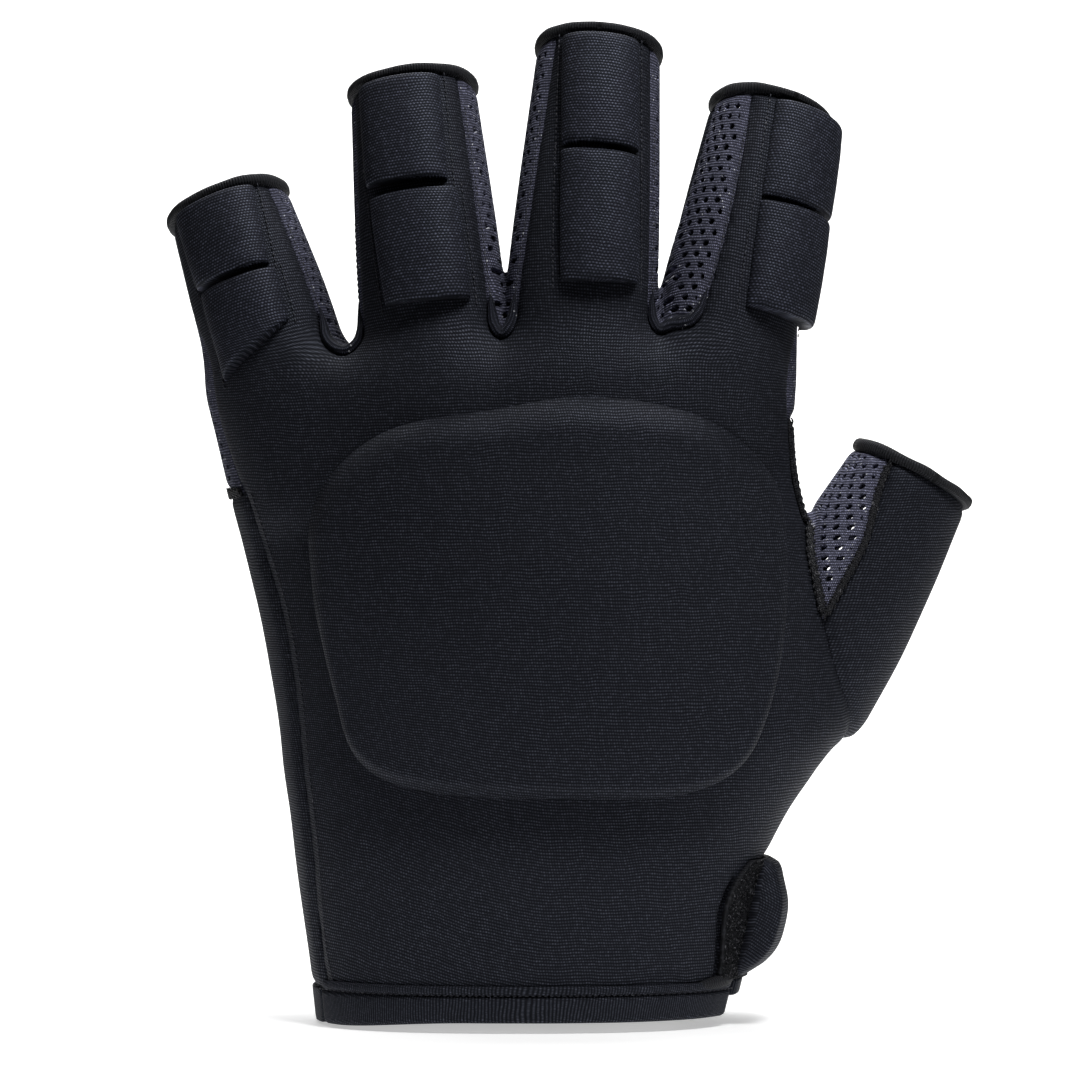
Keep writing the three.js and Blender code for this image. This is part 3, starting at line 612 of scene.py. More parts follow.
def undulation(p, size, seed):
    """Soft, even unevenness of cloth, from crossing waves."""
    rng = np.random.default_rng(seed)
    total = np.zeros(len(p))
    for _ in range(7):
        way = rng.normal(size=3)
        way *= 2 * np.pi / (size * rng.uniform(0.7, 1.5) * np.linalg.norm(way))
        total += np.sin(p @ way + rng.uniform(0, 6.28))
    return total / 7


_body = {}


def part_off(name, points, faces, value, over=True):
    """Names the part of a mesh where a value is over 0, or under, and gives the other part."""
    points, faces, is_over = split(points, faces, value)
    _body[name] = largest_part(points, faces[is_over == over])
    return compact(points, faces[is_over != over])


def body_patches():
    """The glove's outside, cut along its seams into named patches."""
    if _body:
        return _body
    settings = bpy.context.scene.glove
    points, faces = surface_net(settings.net_step / MM)
    thumb = finger_field("thumb", points)
    value = hand_and_fingers(points) - thumb
    share = finger_local("thumb", points)[0]
    z = points[:, 2]
    value = value - THUMB_SIDE_BIAS * (1 - smoothstep(76, 87, z)) * smoothstep(30, 40, z)
    value = np.where(share > 0.05, value, -5.0)
    points, faces, over = split(points, faces, value)
    thumb_faces, hand_faces = faces[over], faces[~over]

    # The thumb: opening, then its two lengthways seams.
    thumb_points, thumb_faces = largest_part(points, thumb_faces)
    thumb_points, thumb_faces = cut(
        thumb_points, thumb_faces, past_end("thumb", thumb_points), over=False
    )
    share, u, v, _, _ = finger_local("thumb", thumb_points)
    facing = u * math.cos(THUMB_SEAM_TURN) - v * math.sin(THUMB_SEAM_TURN)
    offset = 0.02 + 0.3 * (1 - smoothstep(0.68, 1.0, share))
    _body["thumb_mesh"] = largest_part(
        *part_off("thumb_back", thumb_points, thumb_faces, (facing - offset) * 12)
    )

    # The hand: cuff and finger openings.
    points, faces = largest_part(points, hand_faces)
    points, faces = cut(points, faces, points[:, 2] - HEM_TOP)
    near = np.argmin([finger_field(name, points) for name in FOUR], 0)
    end = np.full(len(points), -10.0)
    for i, name in enumerate(FOUR):
        mine = (near == i) & (points[:, 2] > 130)
        end[mine] = past_end(name, points[mine])
    points, faces = cut(points, faces, end, over=False)

    # The side panel, the back panel, then the strips out of the palm side.
    x, y, z = points.T
    seam_x = np.where(y < 4, smooth_table(SIDE_SEAM, z), SIDE_PALM_X)
    side = np.minimum(seam_x - x, LITTLE_STRIP_Z - z)
    points, faces = part_off("side_panel", points, faces, side)
    points, faces = part_off("back_panel", points, faces, past_seam(points), over=False)
    x, _, z = points.T
    low = np.where(x < FINGERS["little"][0][0], LITTLE_STRIP_Z, STRIP_Z)
    strip = np.minimum(STRIP_DEPTH - past_seam(points), z - low)
    points, faces = part_off("palm_panel", points, faces, strip, over=False)
    names = ("little_outer", "little_ring", "ring_middle", "middle_index", "index_outer")
    x, _, z = points[faces].mean(1).T
    place = sum((x > finger_line(name, z)).astype(int) for name in FOUR)
    for i, name in enumerate(names):
        _body["strip_" + name] = largest_part(points, faces[place == i])
    return _body


def shared_seams(first, second, shortest=12):
    """Runs of points, in order, along the seams that two patches share."""
    points, faces = body_patches()[first]
    other = {tuple(p) for p in np.round(body_patches()[second][0], 3)}
    common = np.array([tuple(p) in other for p in np.round(points, 3)])
    edges = border_edges(faces)
    following = dict(edges[common[edges].all(1)].tolist())
    starts = sorted(set(following) - set(following.values())) or sorted(following)[:1]
    runs = []
    for start in starts:
        run = [start]
        while run[-1] in following:
            run.append(following.pop(run[-1]))
        if len(run) >= shortest:
            runs.append(points[run])
    return runs


# ---- Materials ----
def feed(node, inputs):
    """Sets a node's inputs, each to a constant or to a link from another node's socket."""
    for key, value in inputs.items():
        if isinstance(value, bpy.types.NodeSocket):
            node.id_data.links.new(value, node.inputs[key])
        else:
            node.inputs[key].default_value = value
    return node


def put(tree, kind, inputs=None, **settings):
    """Adds a node with its settings and inputs."""
    node = tree.nodes.new(kind)
    for key, value in settings.items():
        setattr(node, key, value)
    return feed(node, inputs or {})


def new_material(name):
    material = bpy.data.materials.new(name)
    material.use_nodes = True
    tree = material.node_tree
    tree.nodes.clear()
    shader = put(tree, "ShaderNodeBsdfPrincipled")
    put(tree, "ShaderNodeOutputMaterial", {"Surface": shader.outputs["BSDF"]})
    return material, tree, shader


def cloth_coordinates(tree):
    """The knit's own two coordinates, and the object's."""
    uv = put(tree, "ShaderNodeUVMap", uv_map="knit")
    parts = put(tree, "ShaderNodeSeparateXYZ", {0: uv.outputs["UV"]})
    place = put(tree, "ShaderNodeTexCoord").outputs["Object"]
    return parts.outputs["X"], parts.outputs["Y"], place


class Maths:
    """Short-hand for chains of maths nodes."""

    def __init__(self, tree):
        self.tree = tree

    def __call__(self, operation, *values, clamp=False):
        inputs = dict(enumerate(values))
        node = put(self.tree, "ShaderNodeMath", inputs, operation=operation, use_clamp=clamp)
        return node.outputs[0]

    def scaled(self, value, gain, plus=0.0):
        product = self("MULTIPLY", value, gain)
        return self("ADD", product, plus) if plus else product

    def wave(self, turns, share=0.5):
        """A sine of whole turns, which goes down from 1 by twice the share."""
        return self.scaled(self("SINE", self("MULTIPLY", turns, 2 * math.pi)), share, 1 - share)


def noise(tree, vector, scale, detail=3.0, roughness=0.55):
    inputs = {"Vector": vector, "Scale": scale, "Detail": detail, "Roughness": roughness}
    return put(tree, "ShaderNodeTexNoise", inputs).outputs["Fac"]


def mixed(tree, factor, first, second):
    """A colour between two, which a mix node has as its sockets 6 and 7, and gives as its 2."""
    inputs = {"Factor": factor, 6: first, 7: second}
    return put(tree, "ShaderNodeMix", inputs, data_type="RGBA").outputs[2]


def bumped(tree, height, distance, strength, under=None):
    inputs = {"Strength": strength, "Distance": distance, "Height": height}
    if under is not None:
        inputs["Normal"] = under
    return put(tree, "ShaderNodeBump", inputs).outputs["Normal"]


def rgba(colour, gain=1.0):
    return tuple(min(c * gain, 1.0) for c in colour) + (1.0,)


# near white of the painted glints on the mesh, and light grey of the thread's lint and painted
# glints
GLINT_COLOUR, LINT_AND_GLINT_COLOUR = (0.7, 0.71, 0.75, 1.0), (0.5, 0.5, 0.55, 1.0)
COOL_SHEEN = (0.72, 0.78, 1.0, 1.0)
GROUND_ROUGHNESS = 0.86


def knit_material(name, colour, row=0.54, wale=0.47, bump=0.3, roughness=0.42, glint_share=0.0,
                  specular=0.3, crest=20.0, lean=0.18):
    """Knitted cloth: rows of small loops, smoother on their crests, with painted highlights on the
    crests, and lint.

    Each row stands aside from the one under it by the share of a loop that lean gives. Crest is the
    gain of the painted crest highlight's colour over the knit colour.
    """
    material, tree, shader = new_material(name)
    maths = Maths(tree)
    across, along, place = cloth_coordinates(tree)
    wander = noise(tree, place, 130.0)
    across = maths.scaled(across, UV_TO_MM / wale)
    along = maths.scaled(along, UV_TO_MM / row)
    along = maths("ADD", along, maths.scaled(wander, 2.2))
    across = maths("ADD", across, maths.scaled(wander, 1.6))
    across = maths("ADD", across, maths.scaled(maths("FLOOR", along), lean))
    loops = [maths.wave(maths("SUBTRACT", at, 0.25)) for at in (across, along)]
    height = maths("MULTIPLY", loops[1], maths.scaled(loops[0], 0.7, 0.3))
    # Loops differ a little from each other, their crests carry painted highlights, and faint lint
    # lies over them.
    cell = put(tree, "ShaderNodeCombineXYZ", {0: maths("FLOOR", across), 1: maths("FLOOR", along)})
    white = put(tree, "ShaderNodeTexWhiteNoise", {"Vector": cell.outputs[0]}).outputs["Value"]
    patches = noise(tree, place, 38.0, 4.0)
    fuzz = noise(tree, place, 3200.0, 2.0, 0.7)
    vary = maths.scaled(maths("POWER", white, 2.0), 0.75, 0.35)
    painted_highlight_and_lint = maths("MULTIPLY", maths("POWER", height, 2.0), vary)
    painted_highlight_and_lint = maths("ADD", painted_highlight_and_lint, maths.scaled(maths("MULTIPLY", patches, fuzz), 0.04), clamp=True)
    # base colour runs from the dark ground up to the painted highlight on the loops' crests
    base = mixed(tree, painted_highlight_and_lint, rgba(colour, 0.15), rgba(colour, crest))
    # painted glints: a share of loop crests turned near white
    if glint_share > 0:
        painted_glint = maths("GREATER_THAN", white, 1.0 - glint_share)
        painted_glint = maths("MULTIPLY", painted_glint, maths("GREATER_THAN", height, 0.4))
        base = mixed(tree, maths.scaled(painted_glint, 0.8), base, GLINT_COLOUR)
    rough = maths("SUBTRACT", GROUND_ROUGHNESS, maths.scaled(height, GROUND_ROUGHNESS - roughness))
    soft = bumped(tree, patches, 0.0012, 0.2)
    fine = bumped(tree, maths("ADD", height, maths.scaled(fuzz, 0.35)), 0.0002, bump, soft)
    feed(shader, {
        "Base Color": base, "Roughness": rough, "Normal": fine,
        "Specular IOR Level": specular, "Specular Tint": COOL_SHEEN,
    })
    return material


def rib_material(name, colour):
    """Ribbed elastic tape: short ribs across the tape, with painted highlights on their tops, and
    lint.
    """
    pitch, row = 0.45, 0.7
    material, tree, shader = new_material(name)
    maths = Maths(tree)
    across, along, place = cloth_coordinates(tree)
    wander = noise(tree, place, 400.0, 2.0)
    turns = maths("ADD", maths.scaled(across, UV_TO_MM / pitch), maths.scaled(wander, 0.8))
    rows = maths.wave(maths.scaled(along, UV_TO_MM / row), 0.25)
    height = maths("MULTIPLY", maths.wave(turns), rows)
    fuzz = noise(tree, place, 2600.0, 3.0, 0.7)
    patches = noise(tree, place, 120.0)
    # painted highlights on the ribs' tops, with lint, varied in patches
    painted_highlight_and_lint = maths("ADD", maths.scaled(height, 0.5), maths.scaled(fuzz, 0.35))
    painted_highlight_and_lint = maths("MULTIPLY", painted_highlight_and_lint, maths("ADD", patches, 0.5), clamp=True)
    soft = bumped(tree, patches, 0.0008, 0.4)
    feed(shader, {
        "Base Color": mixed(tree, painted_highlight_and_lint, rgba(colour, 0.3), rgba(colour, 4.5)),
        "Roughness": 0.62, "Specular IOR Level": 0.2,
        "Normal": bumped(tree, maths("ADD", height, maths.scaled(fuzz, 0.5)), 0.00025, 0.9, soft),
    })
    return material


def thread_material(name, colour, lint=(900.0, 0.64, 0.35), specular=0.3):
    """Twisted sewing thread, with light specks, lint and painted glints, whose scale, start and
    share lint gives.
    """
    material, tree, shader = new_material(name)
    maths = Maths(tree)
    place = put(tree, "ShaderNodeTexCoord").outputs["Object"]
    twist = noise(tree, place, 2400.0, 2.0)
    speck_scale, speck_from, speck_share = lint
    glint_and_lint_specks = maths("GREATER_THAN", noise(tree, place, speck_scale, 2.0, 0.7), speck_from)
    glint_and_lint_specks = maths("MULTIPLY", maths.scaled(glint_and_lint_specks, speck_share), twist)
    dyed = mixed(tree, twist, rgba(colour, 0.4), rgba(colour, 2.2))
    feed(shader, {
        # light specks mixed in: lint, and painted glints
        "Base Color": mixed(tree, glint_and_lint_specks, dyed, LINT_AND_GLINT_COLOUR), "Roughness": 0.5,
        "Specular IOR Level": specular, "Normal": bumped(tree, twist, 0.0001, 0.6),
    })
    return material


_materials = {}
# finish and slot of the neoprene's face
KNIT = ("knit", "knit_neoprene")


def finish(name):
    """The glove's finishes, each made once."""
    if not _materials:
        s = bpy.context.scene.glove
        _materials.update(
            knit=knit_material("knit_neoprene", tuple(s.knit_colour)),
            pad=knit_material("pad_knit", tuple(s.knit_colour), row=0.56, wale=0.47),
            guard=knit_material("guard_knit", tuple(s.guard_colour), row=0.5, wale=0.47, bump=0.3,
                                roughness=0.38, specular=0.34, crest=30.0, lean=0.5),
            mesh=knit_material("perforated_mesh", tuple(s.mesh_colour), row=0.5, wale=0.3, bump=0.7,
                               roughness=0.65, glint_share=0.02, crest=3.0),
            thumb=knit_material("thumb_mesh", tuple(1.9 * c for c in s.mesh_colour), row=0.5,
                                wale=0.3, bump=0.7, roughness=0.65, glint_share=0.03, crest=2.7),
            palm=knit_material("palm_mesh", tuple(s.palm_colour), row=0.7, wale=0.5, bump=0.7,
                               roughness=0.7, crest=4.0),
            web=knit_material("crotch_binding", tuple(s.palm_colour), row=0.5, wale=0.3, bump=0.9,
                              roughness=0.6, glint_share=0.05, crest=4.0),
            tape=rib_material("elastic_tape", tuple(s.tape_colour)),
            # the loop pile's many light specks are painted glints
            loop=thread_material("loop_pile", tuple(s.loop_colour), (2300.0, 0.6, 0.45), 0.1),
            thread=thread_material("sewing_thread", tuple(s.thread_colour)),
            overlock=thread_material("overlock_thread", tuple(s.overlock_colour)),
        )
    return _materials[name]


# ---- Settings ----
def colour_property(name, description, default):
    return bpy.props.FloatVectorProperty(
        name=name, description=description, default=default, subtype="COLOR", min=0, max=1
    )


def length_property(name, description, default):
    return bpy.props.FloatProperty(
        name=name, description=description, default=default * MM, unit="LENGTH", min=0
    )


class GloveSettings(bpy.types.PropertyGroup):
    knit_colour: colour_property("Knit", "Face of the neoprene panels", (0.0036, 0.0039, 0.0052))
    guard_colour: colour_property("Guards", "Face of the finger guards", (0.0036, 0.0039, 0.0056))
    mesh_colour: colour_property("Mesh", "Perforated strips", (0.125, 0.127, 0.185))
    palm_colour: colour_property("Palm", "Palm panel", (0.018, 0.019, 0.028))
    tape_colour: colour_property("Tape", "Bindings round the openings", (0.008, 0.0085, 0.0105))
    loop_colour: colour_property("Loop pile", "Loop patch of the closure", (0.007, 0.0075, 0.009))
    thread_colour: colour_property("Thread", "Sewing thread", (0.018, 0.019, 0.026))
    overlock_colour: colour_property("Overlock", "Overlocked thread", (0.006, 0.006, 0.008))
    net_step: length_property("Mesh size", "Size of the cloth's faces", 1.0)
    wall: length_property("Wall", "Thickness of the neoprene", WALL)
    guard_height: length_property("Guard height", "How far the finger guards stand out", 3.9)
    pad_height: length_property("Pad height", "How far the back pad stands out", 5.5)
    hole_pitch: length_property("Hole pitch", "Distance between the mesh's holes", 2.5)
    hole_size: length_property("Hole size", "Width of the mesh's holes", 1.35)
    stitch_pitch: length_property("Stitch pitch", "Distance from stitch to stitch", 1.1)


def cuff_turn(p):
    """Turn round the cuff, in degrees, of points near its surface."""
    u, v, _, _ = hand_local(p)
    power = HAND_ROUNDNESS / 2
    return np.degrees(np.arctan2(signed_power(v, power), signed_power(u, power)))


def fold_groove(p):
    """1 in the groove beside the back panel's folded edge at the closure, 0 away from it."""
    turn, z = cuff_turn(p), p[:, 2]
    inside = smoothstep(0, GROOVE_WIDTH, turn - smooth_table(FOLD_EDGE, z))
    inside = inside * smoothstep(0, GROOVE_WIDTH, FOLD_END_DEGREES - turn)
    return inside * (1 - smoothstep(FOLD_TOP - 2.5, FOLD_TOP, z)) * (p[:, 1] < 0)


def with_fold_lines(points, faces):
    """The back panel, with points along both sides of the slope into its groove."""
    for aside in (0, GROOVE_WIDTH):
        value = (cuff_turn(points) - smooth_table(FOLD_EDGE, points[:, 2]) - aside) * 0.6
        value = np.where((points[:, 2] < FOLD_TOP) & (points[:, 1] < 0), value, -5.0)
        points, faces, _ = split(points, faces, value)
    return compact(points, faces)


class GLOVE_OT_panels(bpy.types.Operator):
    """Sews the back, side, palm and thumb panels"""

    bl_idname = "glove.panels"
    bl_label = "Panels"

    def execute(self, context):
        for seed, name in enumerate(("back_panel", "side_panel", "palm_panel", "thumb_back"), 1):
            material, slot = ("palm", "palm_mesh") if name == "palm_panel" else KNIT
            points, faces = body_patches()[name]
            if name == "back_panel":
                points, faces = with_fold_lines(points, faces)
            points, normals = settle(points, rounds=1)
            uv = np.tile(knit_coordinates(points, name.split("_")[0]), (2, 1))
            points = points + normals * (0.12 * undulation(points, 16, seed))[:, None]
            groove = fold_groove(points)
            points = sunk(points, normals, from_border(points, faces), 0.75, 1.3)
            points = points - normals * (1.3 * groove)[:, None]
            wall = context.scene.glove.wall / MM - 0.9 * groove
            points, faces = walled(points, faces, normals, wall)
            dress(make_object("cloth_" + name, points, faces, finish(material), uv), slot, name)
        return {"FINISHED"}


def hole_field(uv, pitch, size):
    """Over 0 in the cloth and under 0 in the holes, which stand in staggered rows."""
    row_pitch, height = pitch * 0.78, 0.42
    row = np.round(uv[:, 1] / row_pitch)
    a = uv[:, 0] / pitch + 0.5 * (row % 2)
    du = (a - np.round(a)) * pitch
    dv = uv[:, 1] - row * row_pitch
    return np.hypot(du / 0.5, dv / height) * 0.5 - size * 0.5


class GLOVE_OT_strips(bpy.types.Operator):
    """Cuts the perforated mesh strips, with their holes"""

    bl_idname = "glove.strips"
    bl_label = "Perforated strips"

    def execute(self, context):
        s = context.scene.glove
        for name in [n for n in body_patches() if n.startswith("strip_")] + ["thumb_mesh"]:
            material, part = "thumb" if name == "thumb_mesh" else "mesh", name.split("_")[0]
            points, faces = halve(*body_patches()[name])
            points, normals = settle(points, rounds=1)
            from_edge = from_border(points, faces)
            if name.endswith("outer"):
                uv = np.stack([past_seam(points), points[:, 2]], -1)
            else:
                uv = knit_coordinates(points, part)
            holes = hole_field(uv, s.hole_pitch / MM, s.hole_size / MM)
            value = np.maximum(holes, HOLE_MARGIN - from_edge)
            points = sunk(points, normals, from_edge, 0.7, 1.2)
            points, faces = cut(points, faces, value, snap=0.03)
            on_glove, normals = settle(points, rounds=2)
            uv = np.tile(knit_coordinates(on_glove, part), (2, 1))
            points, faces = walled(points, faces, normals, MESH_WALL)
            piece = make_object("cloth_" + name, points, faces, finish(material), uv)
            dress(piece, "perforated_mesh", name)
        return {"FINISHED"}


def finger_surface(name, share, turn):
    """Points on the glove's outside at a share of a finger, turned from its back's crest."""
    share, turn = np.broadcast_arrays(np.asarray(share, float), np.asarray(turn, float))
    shape = share.shape
    centre, _, across, palm, half, depth = finger_frame(name, share.ravel())
    u, v = oval(turn.ravel() - math.pi / 2, FINGER_ROUNDNESS)
    p = centre + across * (u * half)[:, None] + palm * (v * depth)[:, None]
    p, n = settle(p, rounds=2)
    return p.reshape(shape + (3,)), n.reshape(shape + (3,))


def grid_faces(rows, columns, closed=False):
    """Four-sided faces over a grid of points, joined round to its first column if closed."""
    across = columns if closed else columns - 1
    i, j = (a.ravel() for a in np.meshgrid(np.arange(rows - 1), np.arange(across), indexing="ij"))
    low, k = i * columns, (j + 1) % columns
    return np.stack([low + j, low + k, low + columns + k, low + columns + j], -1)


def closed_pad(top, bottom):
    """A closed mesh from two grids of points, the outer and the inner."""
    rows, columns = top.shape[:2]
    n = rows * columns
    faces = grid_faces(rows, columns)
    grid = np.arange(n).reshape(rows, columns)
    ids = np.concatenate([grid[0], grid[1:, -1], grid[-1, -2::-1], grid[-2:0:-1, 0]]).tolist()
    rim = [(a, a + n, b + n, b) for a, b in zip(ids, ids[1:] + ids[:1])]
    points = np.concatenate([top.reshape(-1, 3), bottom.reshape(-1, 3)])
    return points, [tuple(f) for f in faces] + [tuple(f[::-1] + n) for f in faces] + rim


def closed_piece(name, points, faces, material, uv, slot, *nodes):
    """A dressed piece from a closed mesh, with all its faces turned out."""
    piece = make_object(name, points, faces, finish(material), uv)
    mesh = bmesh.new()
    mesh.from_mesh(piece.data)
    bmesh.ops.recalc_face_normals(mesh, faces=mesh.faces)
    mesh.to_mesh(piece.data)
    mesh.free()
    return dress(piece, slot, *nodes)


def guard_place(corners, u, v):
    """Share and turn of a place on a guard, with u from -1 to 1 across and v from 0 to 1 up."""
    a = (u + 1) / 2
    share, turn = (
        (corners[0][k] * (1 - a) + corners[1][k] * a) * (1 - v)
        + (corners[2][k] * (1 - a) + corners[3][k] * a) * v
        for k in (0, 1)
    )
    return share, np.radians(turn)


class GLOVE_OT_guards(bpy.types.Operator):
    """Shapes the foam guards on the finger backs"""

    bl_idname = "glove.guards"
    bl_label = "Finger guards"

    def execute(self, context):
        height = context.scene.glove.guard_height / MM
        rows, columns, edge = 50, 40, 0.35
        for name, part, corners in GUARDS:
            v = 0.5 - 0.5 * np.cos(np.pi * np.linspace(0, 1, rows))
            u = np.sin(np.linspace(-np.pi / 2, np.pi / 2, columns))
            uu, vv = np.meshgrid(u, v)
            share, angle = guard_place(corners, uu, vv)
            base, normal = finger_surface(name, share, angle)
            across = (1 - np.abs(uu) ** 2.4) ** 0.52
            ends = (1 - np.abs(2 * vv - 1) ** 22) ** 0.35
            lift = edge + (height - edge) * across * (0.62 + 0.38 * ends)
            lift = lift * (0.94 + 0.06 * np.sin(np.pi * vv))
            lift = lift + 0.10 * undulation(base.reshape(-1, 3), 7, 11).reshape(uu.shape)
            lift = np.where((vv == 0) | (vv == 1), lift * 0.93, lift)
            points, faces = closed_pad(base + normal * lift[..., None], base + normal * 0.08)
            uv = np.tile(knit_coordinates(base.reshape(-1, 3)), (2, 1))
            piece = closed_piece(
                f"foam_{name}_{part}", points, faces, "guard", uv,
                "guard_knit", f"guard_{name}_{part}",
            )
        return {"FINISHED"}


def closed_curve(points, count):
    """Points evenly round a smooth closed curve."""
    p = np.array(points, float)
    n = len(p)
    t = np.linspace(0, n, count, endpoint=False)
    i = np.floor(t).astype(int)
    f = (t - i)[:, None]
    a, b, c, d = (p[(i + k) % n] for k in (-1, 0, 1, 2))
    square, cube = 2 * a - 5 * b + 4 * c - d, 3 * b - a - 3 * c + d
    return 0.5 * (2 * b + (c - a) * f + square * f**2 + cube * f**3)


def back_points(x, z):
    """Points on the back of the glove, over places given from the front."""
    p = np.stack([x, middle_y(x, z) - smooth_table(HAND, z, 3) - 3, z], -1)
    for _ in range(7):
        g = field_normal(p, hand_and_fingers)
        p[:, 1] -= hand_and_fingers(p) / np.minimum(g[:, 1], -0.25)
    return p, unit(field_normal(p, hand_and_fingers))


class GLOVE_OT_back_pad(bpy.types.Operator):
    """Shapes the domed foam pad on the back of the hand"""

    bl_idname = "glove.back_pad"
    bl_label = "Back pad"

    def execute(self, context):
        height = context.scene.glove.pad_height / MM
        sides, rings = 180, 44
        outline = closed_curve(PAD_OUTLINE, sides)
        t = np.linspace(0, 1, rings)
        share = (1 - (1 - t) ** 1.7)[1:]
        x = PAD_CENTRE[0] + (outline[None, :, 0] - PAD_CENTRE[0]) * share[:, None]
        z = PAD_CENTRE[1] + (outline[None, :, 1] - PAD_CENTRE[1]) * share[:, None]
        radius = np.hypot(outline[:, 0] - PAD_CENTRE[0], outline[:, 1] - PAD_CENTRE[1])
        inward = (1 - share[:, None]) * radius[None, :]
        upward = (z - PAD_CENTRE[1]) / 36
        slope = 2.6 + 4.4 * smoothstep(-0.5, 0.9, upward)
        rise = np.clip(inward / slope, 0, 1)
        profile = np.sin(rise * np.pi / 2) ** 0.66
        dome = 0.9 + 0.1 * np.cos(np.pi * np.clip(share[:, None], 0, 1) / 2)
        edge = 0.5
        lift = edge + (height - edge) * profile * dome
        base, normal = back_points(x.ravel(), z.ravel())
        lift = lift.ravel() + 0.16 * undulation(base, 14, 21)
        top = base + normal * lift[:, None]
        bottom = base + normal * 0.05
        n = len(top)
        centre, centre_normal = back_points(np.array([PAD_CENTRE[0]]), np.array([PAD_CENTRE[1]]))
        points = np.concatenate([
            top, centre + centre_normal * height, bottom, centre + centre_normal * 0.05
        ])
        faces = [tuple(f) for f in grid_faces(len(share), sides, closed=True)]
        faces += [(n, (j + 1) % sides, j) for j in range(sides)]
        faces += [tuple(int(i) + n + 1 for i in f[::-1]) for f in faces]
        last = (len(share) - 1) * sides
        for j in range(sides):
            a, b = last + j, last + (j + 1) % sides
            faces.append((a, b, b + n + 1, a + n + 1))
        uv = knit_coordinates(points)
        piece = closed_piece(
            "foam_back_pad", points, faces, "pad", uv, "knit_neoprene", "back_pad"
        )
        return {"FINISHED"}


def tube(path, out, up, width, height, closed=True):
    """A soft tape along a path: an oval section with its width along out and height along up."""
    n, sides = len(path), 14
    su, sv = oval(np.linspace(0, 2 * np.pi, sides, endpoint=False), TAPE_ROUNDNESS)
    w = np.broadcast_to(np.asarray(width, float), (n,))[:, None, None]
    h = np.broadcast_to(np.asarray(height, float), (n,))[:, None, None]
    aside, above = out[:, None] * su[None, :, None] * w, up[:, None] * sv[None, :, None] * h
    points = path[:, None] + aside + above
    faces = []
    for i in range(n if closed else n - 1):
        k = (i + 1) % n
        for j in range(sides):
            m = (j + 1) % sides
            faces.append((i * sides + j, i * sides + m, k * sides + m, k * sides + j))
    flat = points.reshape(-1, 3)
    if not closed:
        flat = np.concatenate([flat, path[:1], path[-1:]])
        first, last = n * sides, n * sides + 1
        for j in range(sides):
            m = (j + 1) % sides
            faces.append((j, first, m))
            faces.append(((n - 1) * sides + m, last, (n - 1) * sides + j))
    length = np.concatenate([[0], np.cumsum(np.linalg.norm(np.diff(path, axis=0), axis=1))])
    girth = np.arange(sides) * 2.2 * float(np.mean(height)) / sides * 2
    uv = np.stack(np.broadcast_arrays(length[:, None], girth[None, :]), -1).reshape(-1, 2)
    if not closed:
        uv = np.concatenate([uv, [[0, 0], [length[-1], 0]]])
    return flat, faces, uv


class GLOVE_OT_bindings(bpy.types.Operator):
    """Rolls elastic tape round the five openings"""

    bl_idname = "glove.bindings"
    bl_label = "Bindings"

    def execute(self, context):
        count = 120
        for k, name in enumerate(FINGERS):
            turn = np.linspace(0, 2 * np.pi, count, endpoint=False)
            outer, normal = finger_surface(name, np.ones(count), turn)
            axis = finger_frame(name, 1.0)[1]
            normal = unit(normal - dot(normal, axis)[:, None] * axis)
            centre = outer - normal * (WALL / 2)
            wave = undulation(centre, 9, 31 + k)
            roll = undulation(centre, 5, 47 + k)
            side = np.abs(np.sin(turn)) ** 3
            path = centre + axis * (0.9 - 0.5 * side + 0.2 * wave)[:, None]
            path = path + normal * (0.1 * roll)[:, None]
            points, faces, uv = tube(path, normal, np.broadcast_to(axis, path.shape).copy(),
                                     1.6 + 0.12 * roll, 1.0 + 0.5 * side + 0.1 * wave)
            closed_piece(
                "tape_" + name, points, faces, "tape", uv, "elastic_tape", "binding_" + name
            )
        return {"FINISHED"}


def crotch_path(left, right, top):
    """The back panel's edge down one finger, round the crotch and up the next."""
    def inside(x, z):
        return hand_and_fingers(np.stack([x, seam_y(x, z), z], -1))

    found = []
    for z in np.arange(top, 112, -0.5):
        x = np.linspace(finger_line(left, z), finger_line(right, z), 160)
        gap = inside(x, np.full_like(x, z)) > 0
        if not gap.any():
            break
        found.append((x[gap][0], x[gap][-1], z))
    found = np.array(found)
    low = found[-1]
    path = [(x, z) for x, _, z in found] + [((low[0] + low[1]) / 2, low[2] - 0.3)]
    path += [(x, z) for _, x, z in found[::-1]]
    path = np.array(path)
    return np.stack([path[:, 0], seam_y(path[:, 0], path[:, 1]), path[:, 1]], -1)


def evened(path, step):
    """A path with its points a step apart."""
    length = np.concatenate([[0], np.cumsum(np.linalg.norm(np.diff(path, axis=0), axis=1))])
    at = np.linspace(0, length[-1], max(int(round(length[-1] / step)), 4) + 1)
    return np.stack([np.interp(at, length, path[:, k]) for k in range(3)], -1)


def smoothed(path, rounds):
    path = path.copy()
    for _ in range(rounds):
        path[1:-1] = (path[:-2] + 2 * path[1:-1] + path[2:]) / 4
    return path


def along_glove(path, step, rounds):
    """A path evened and settled on the glove, with its outward and its sideways directions."""
    path, normal = settle(smoothed(evened(path, step), rounds), rounds=2)
    along = unit(np.gradient(path, axis=0))
    normal = unit(normal - dot(normal, along)[:, None] * along)
    return path, normal, np.cross(along, normal)


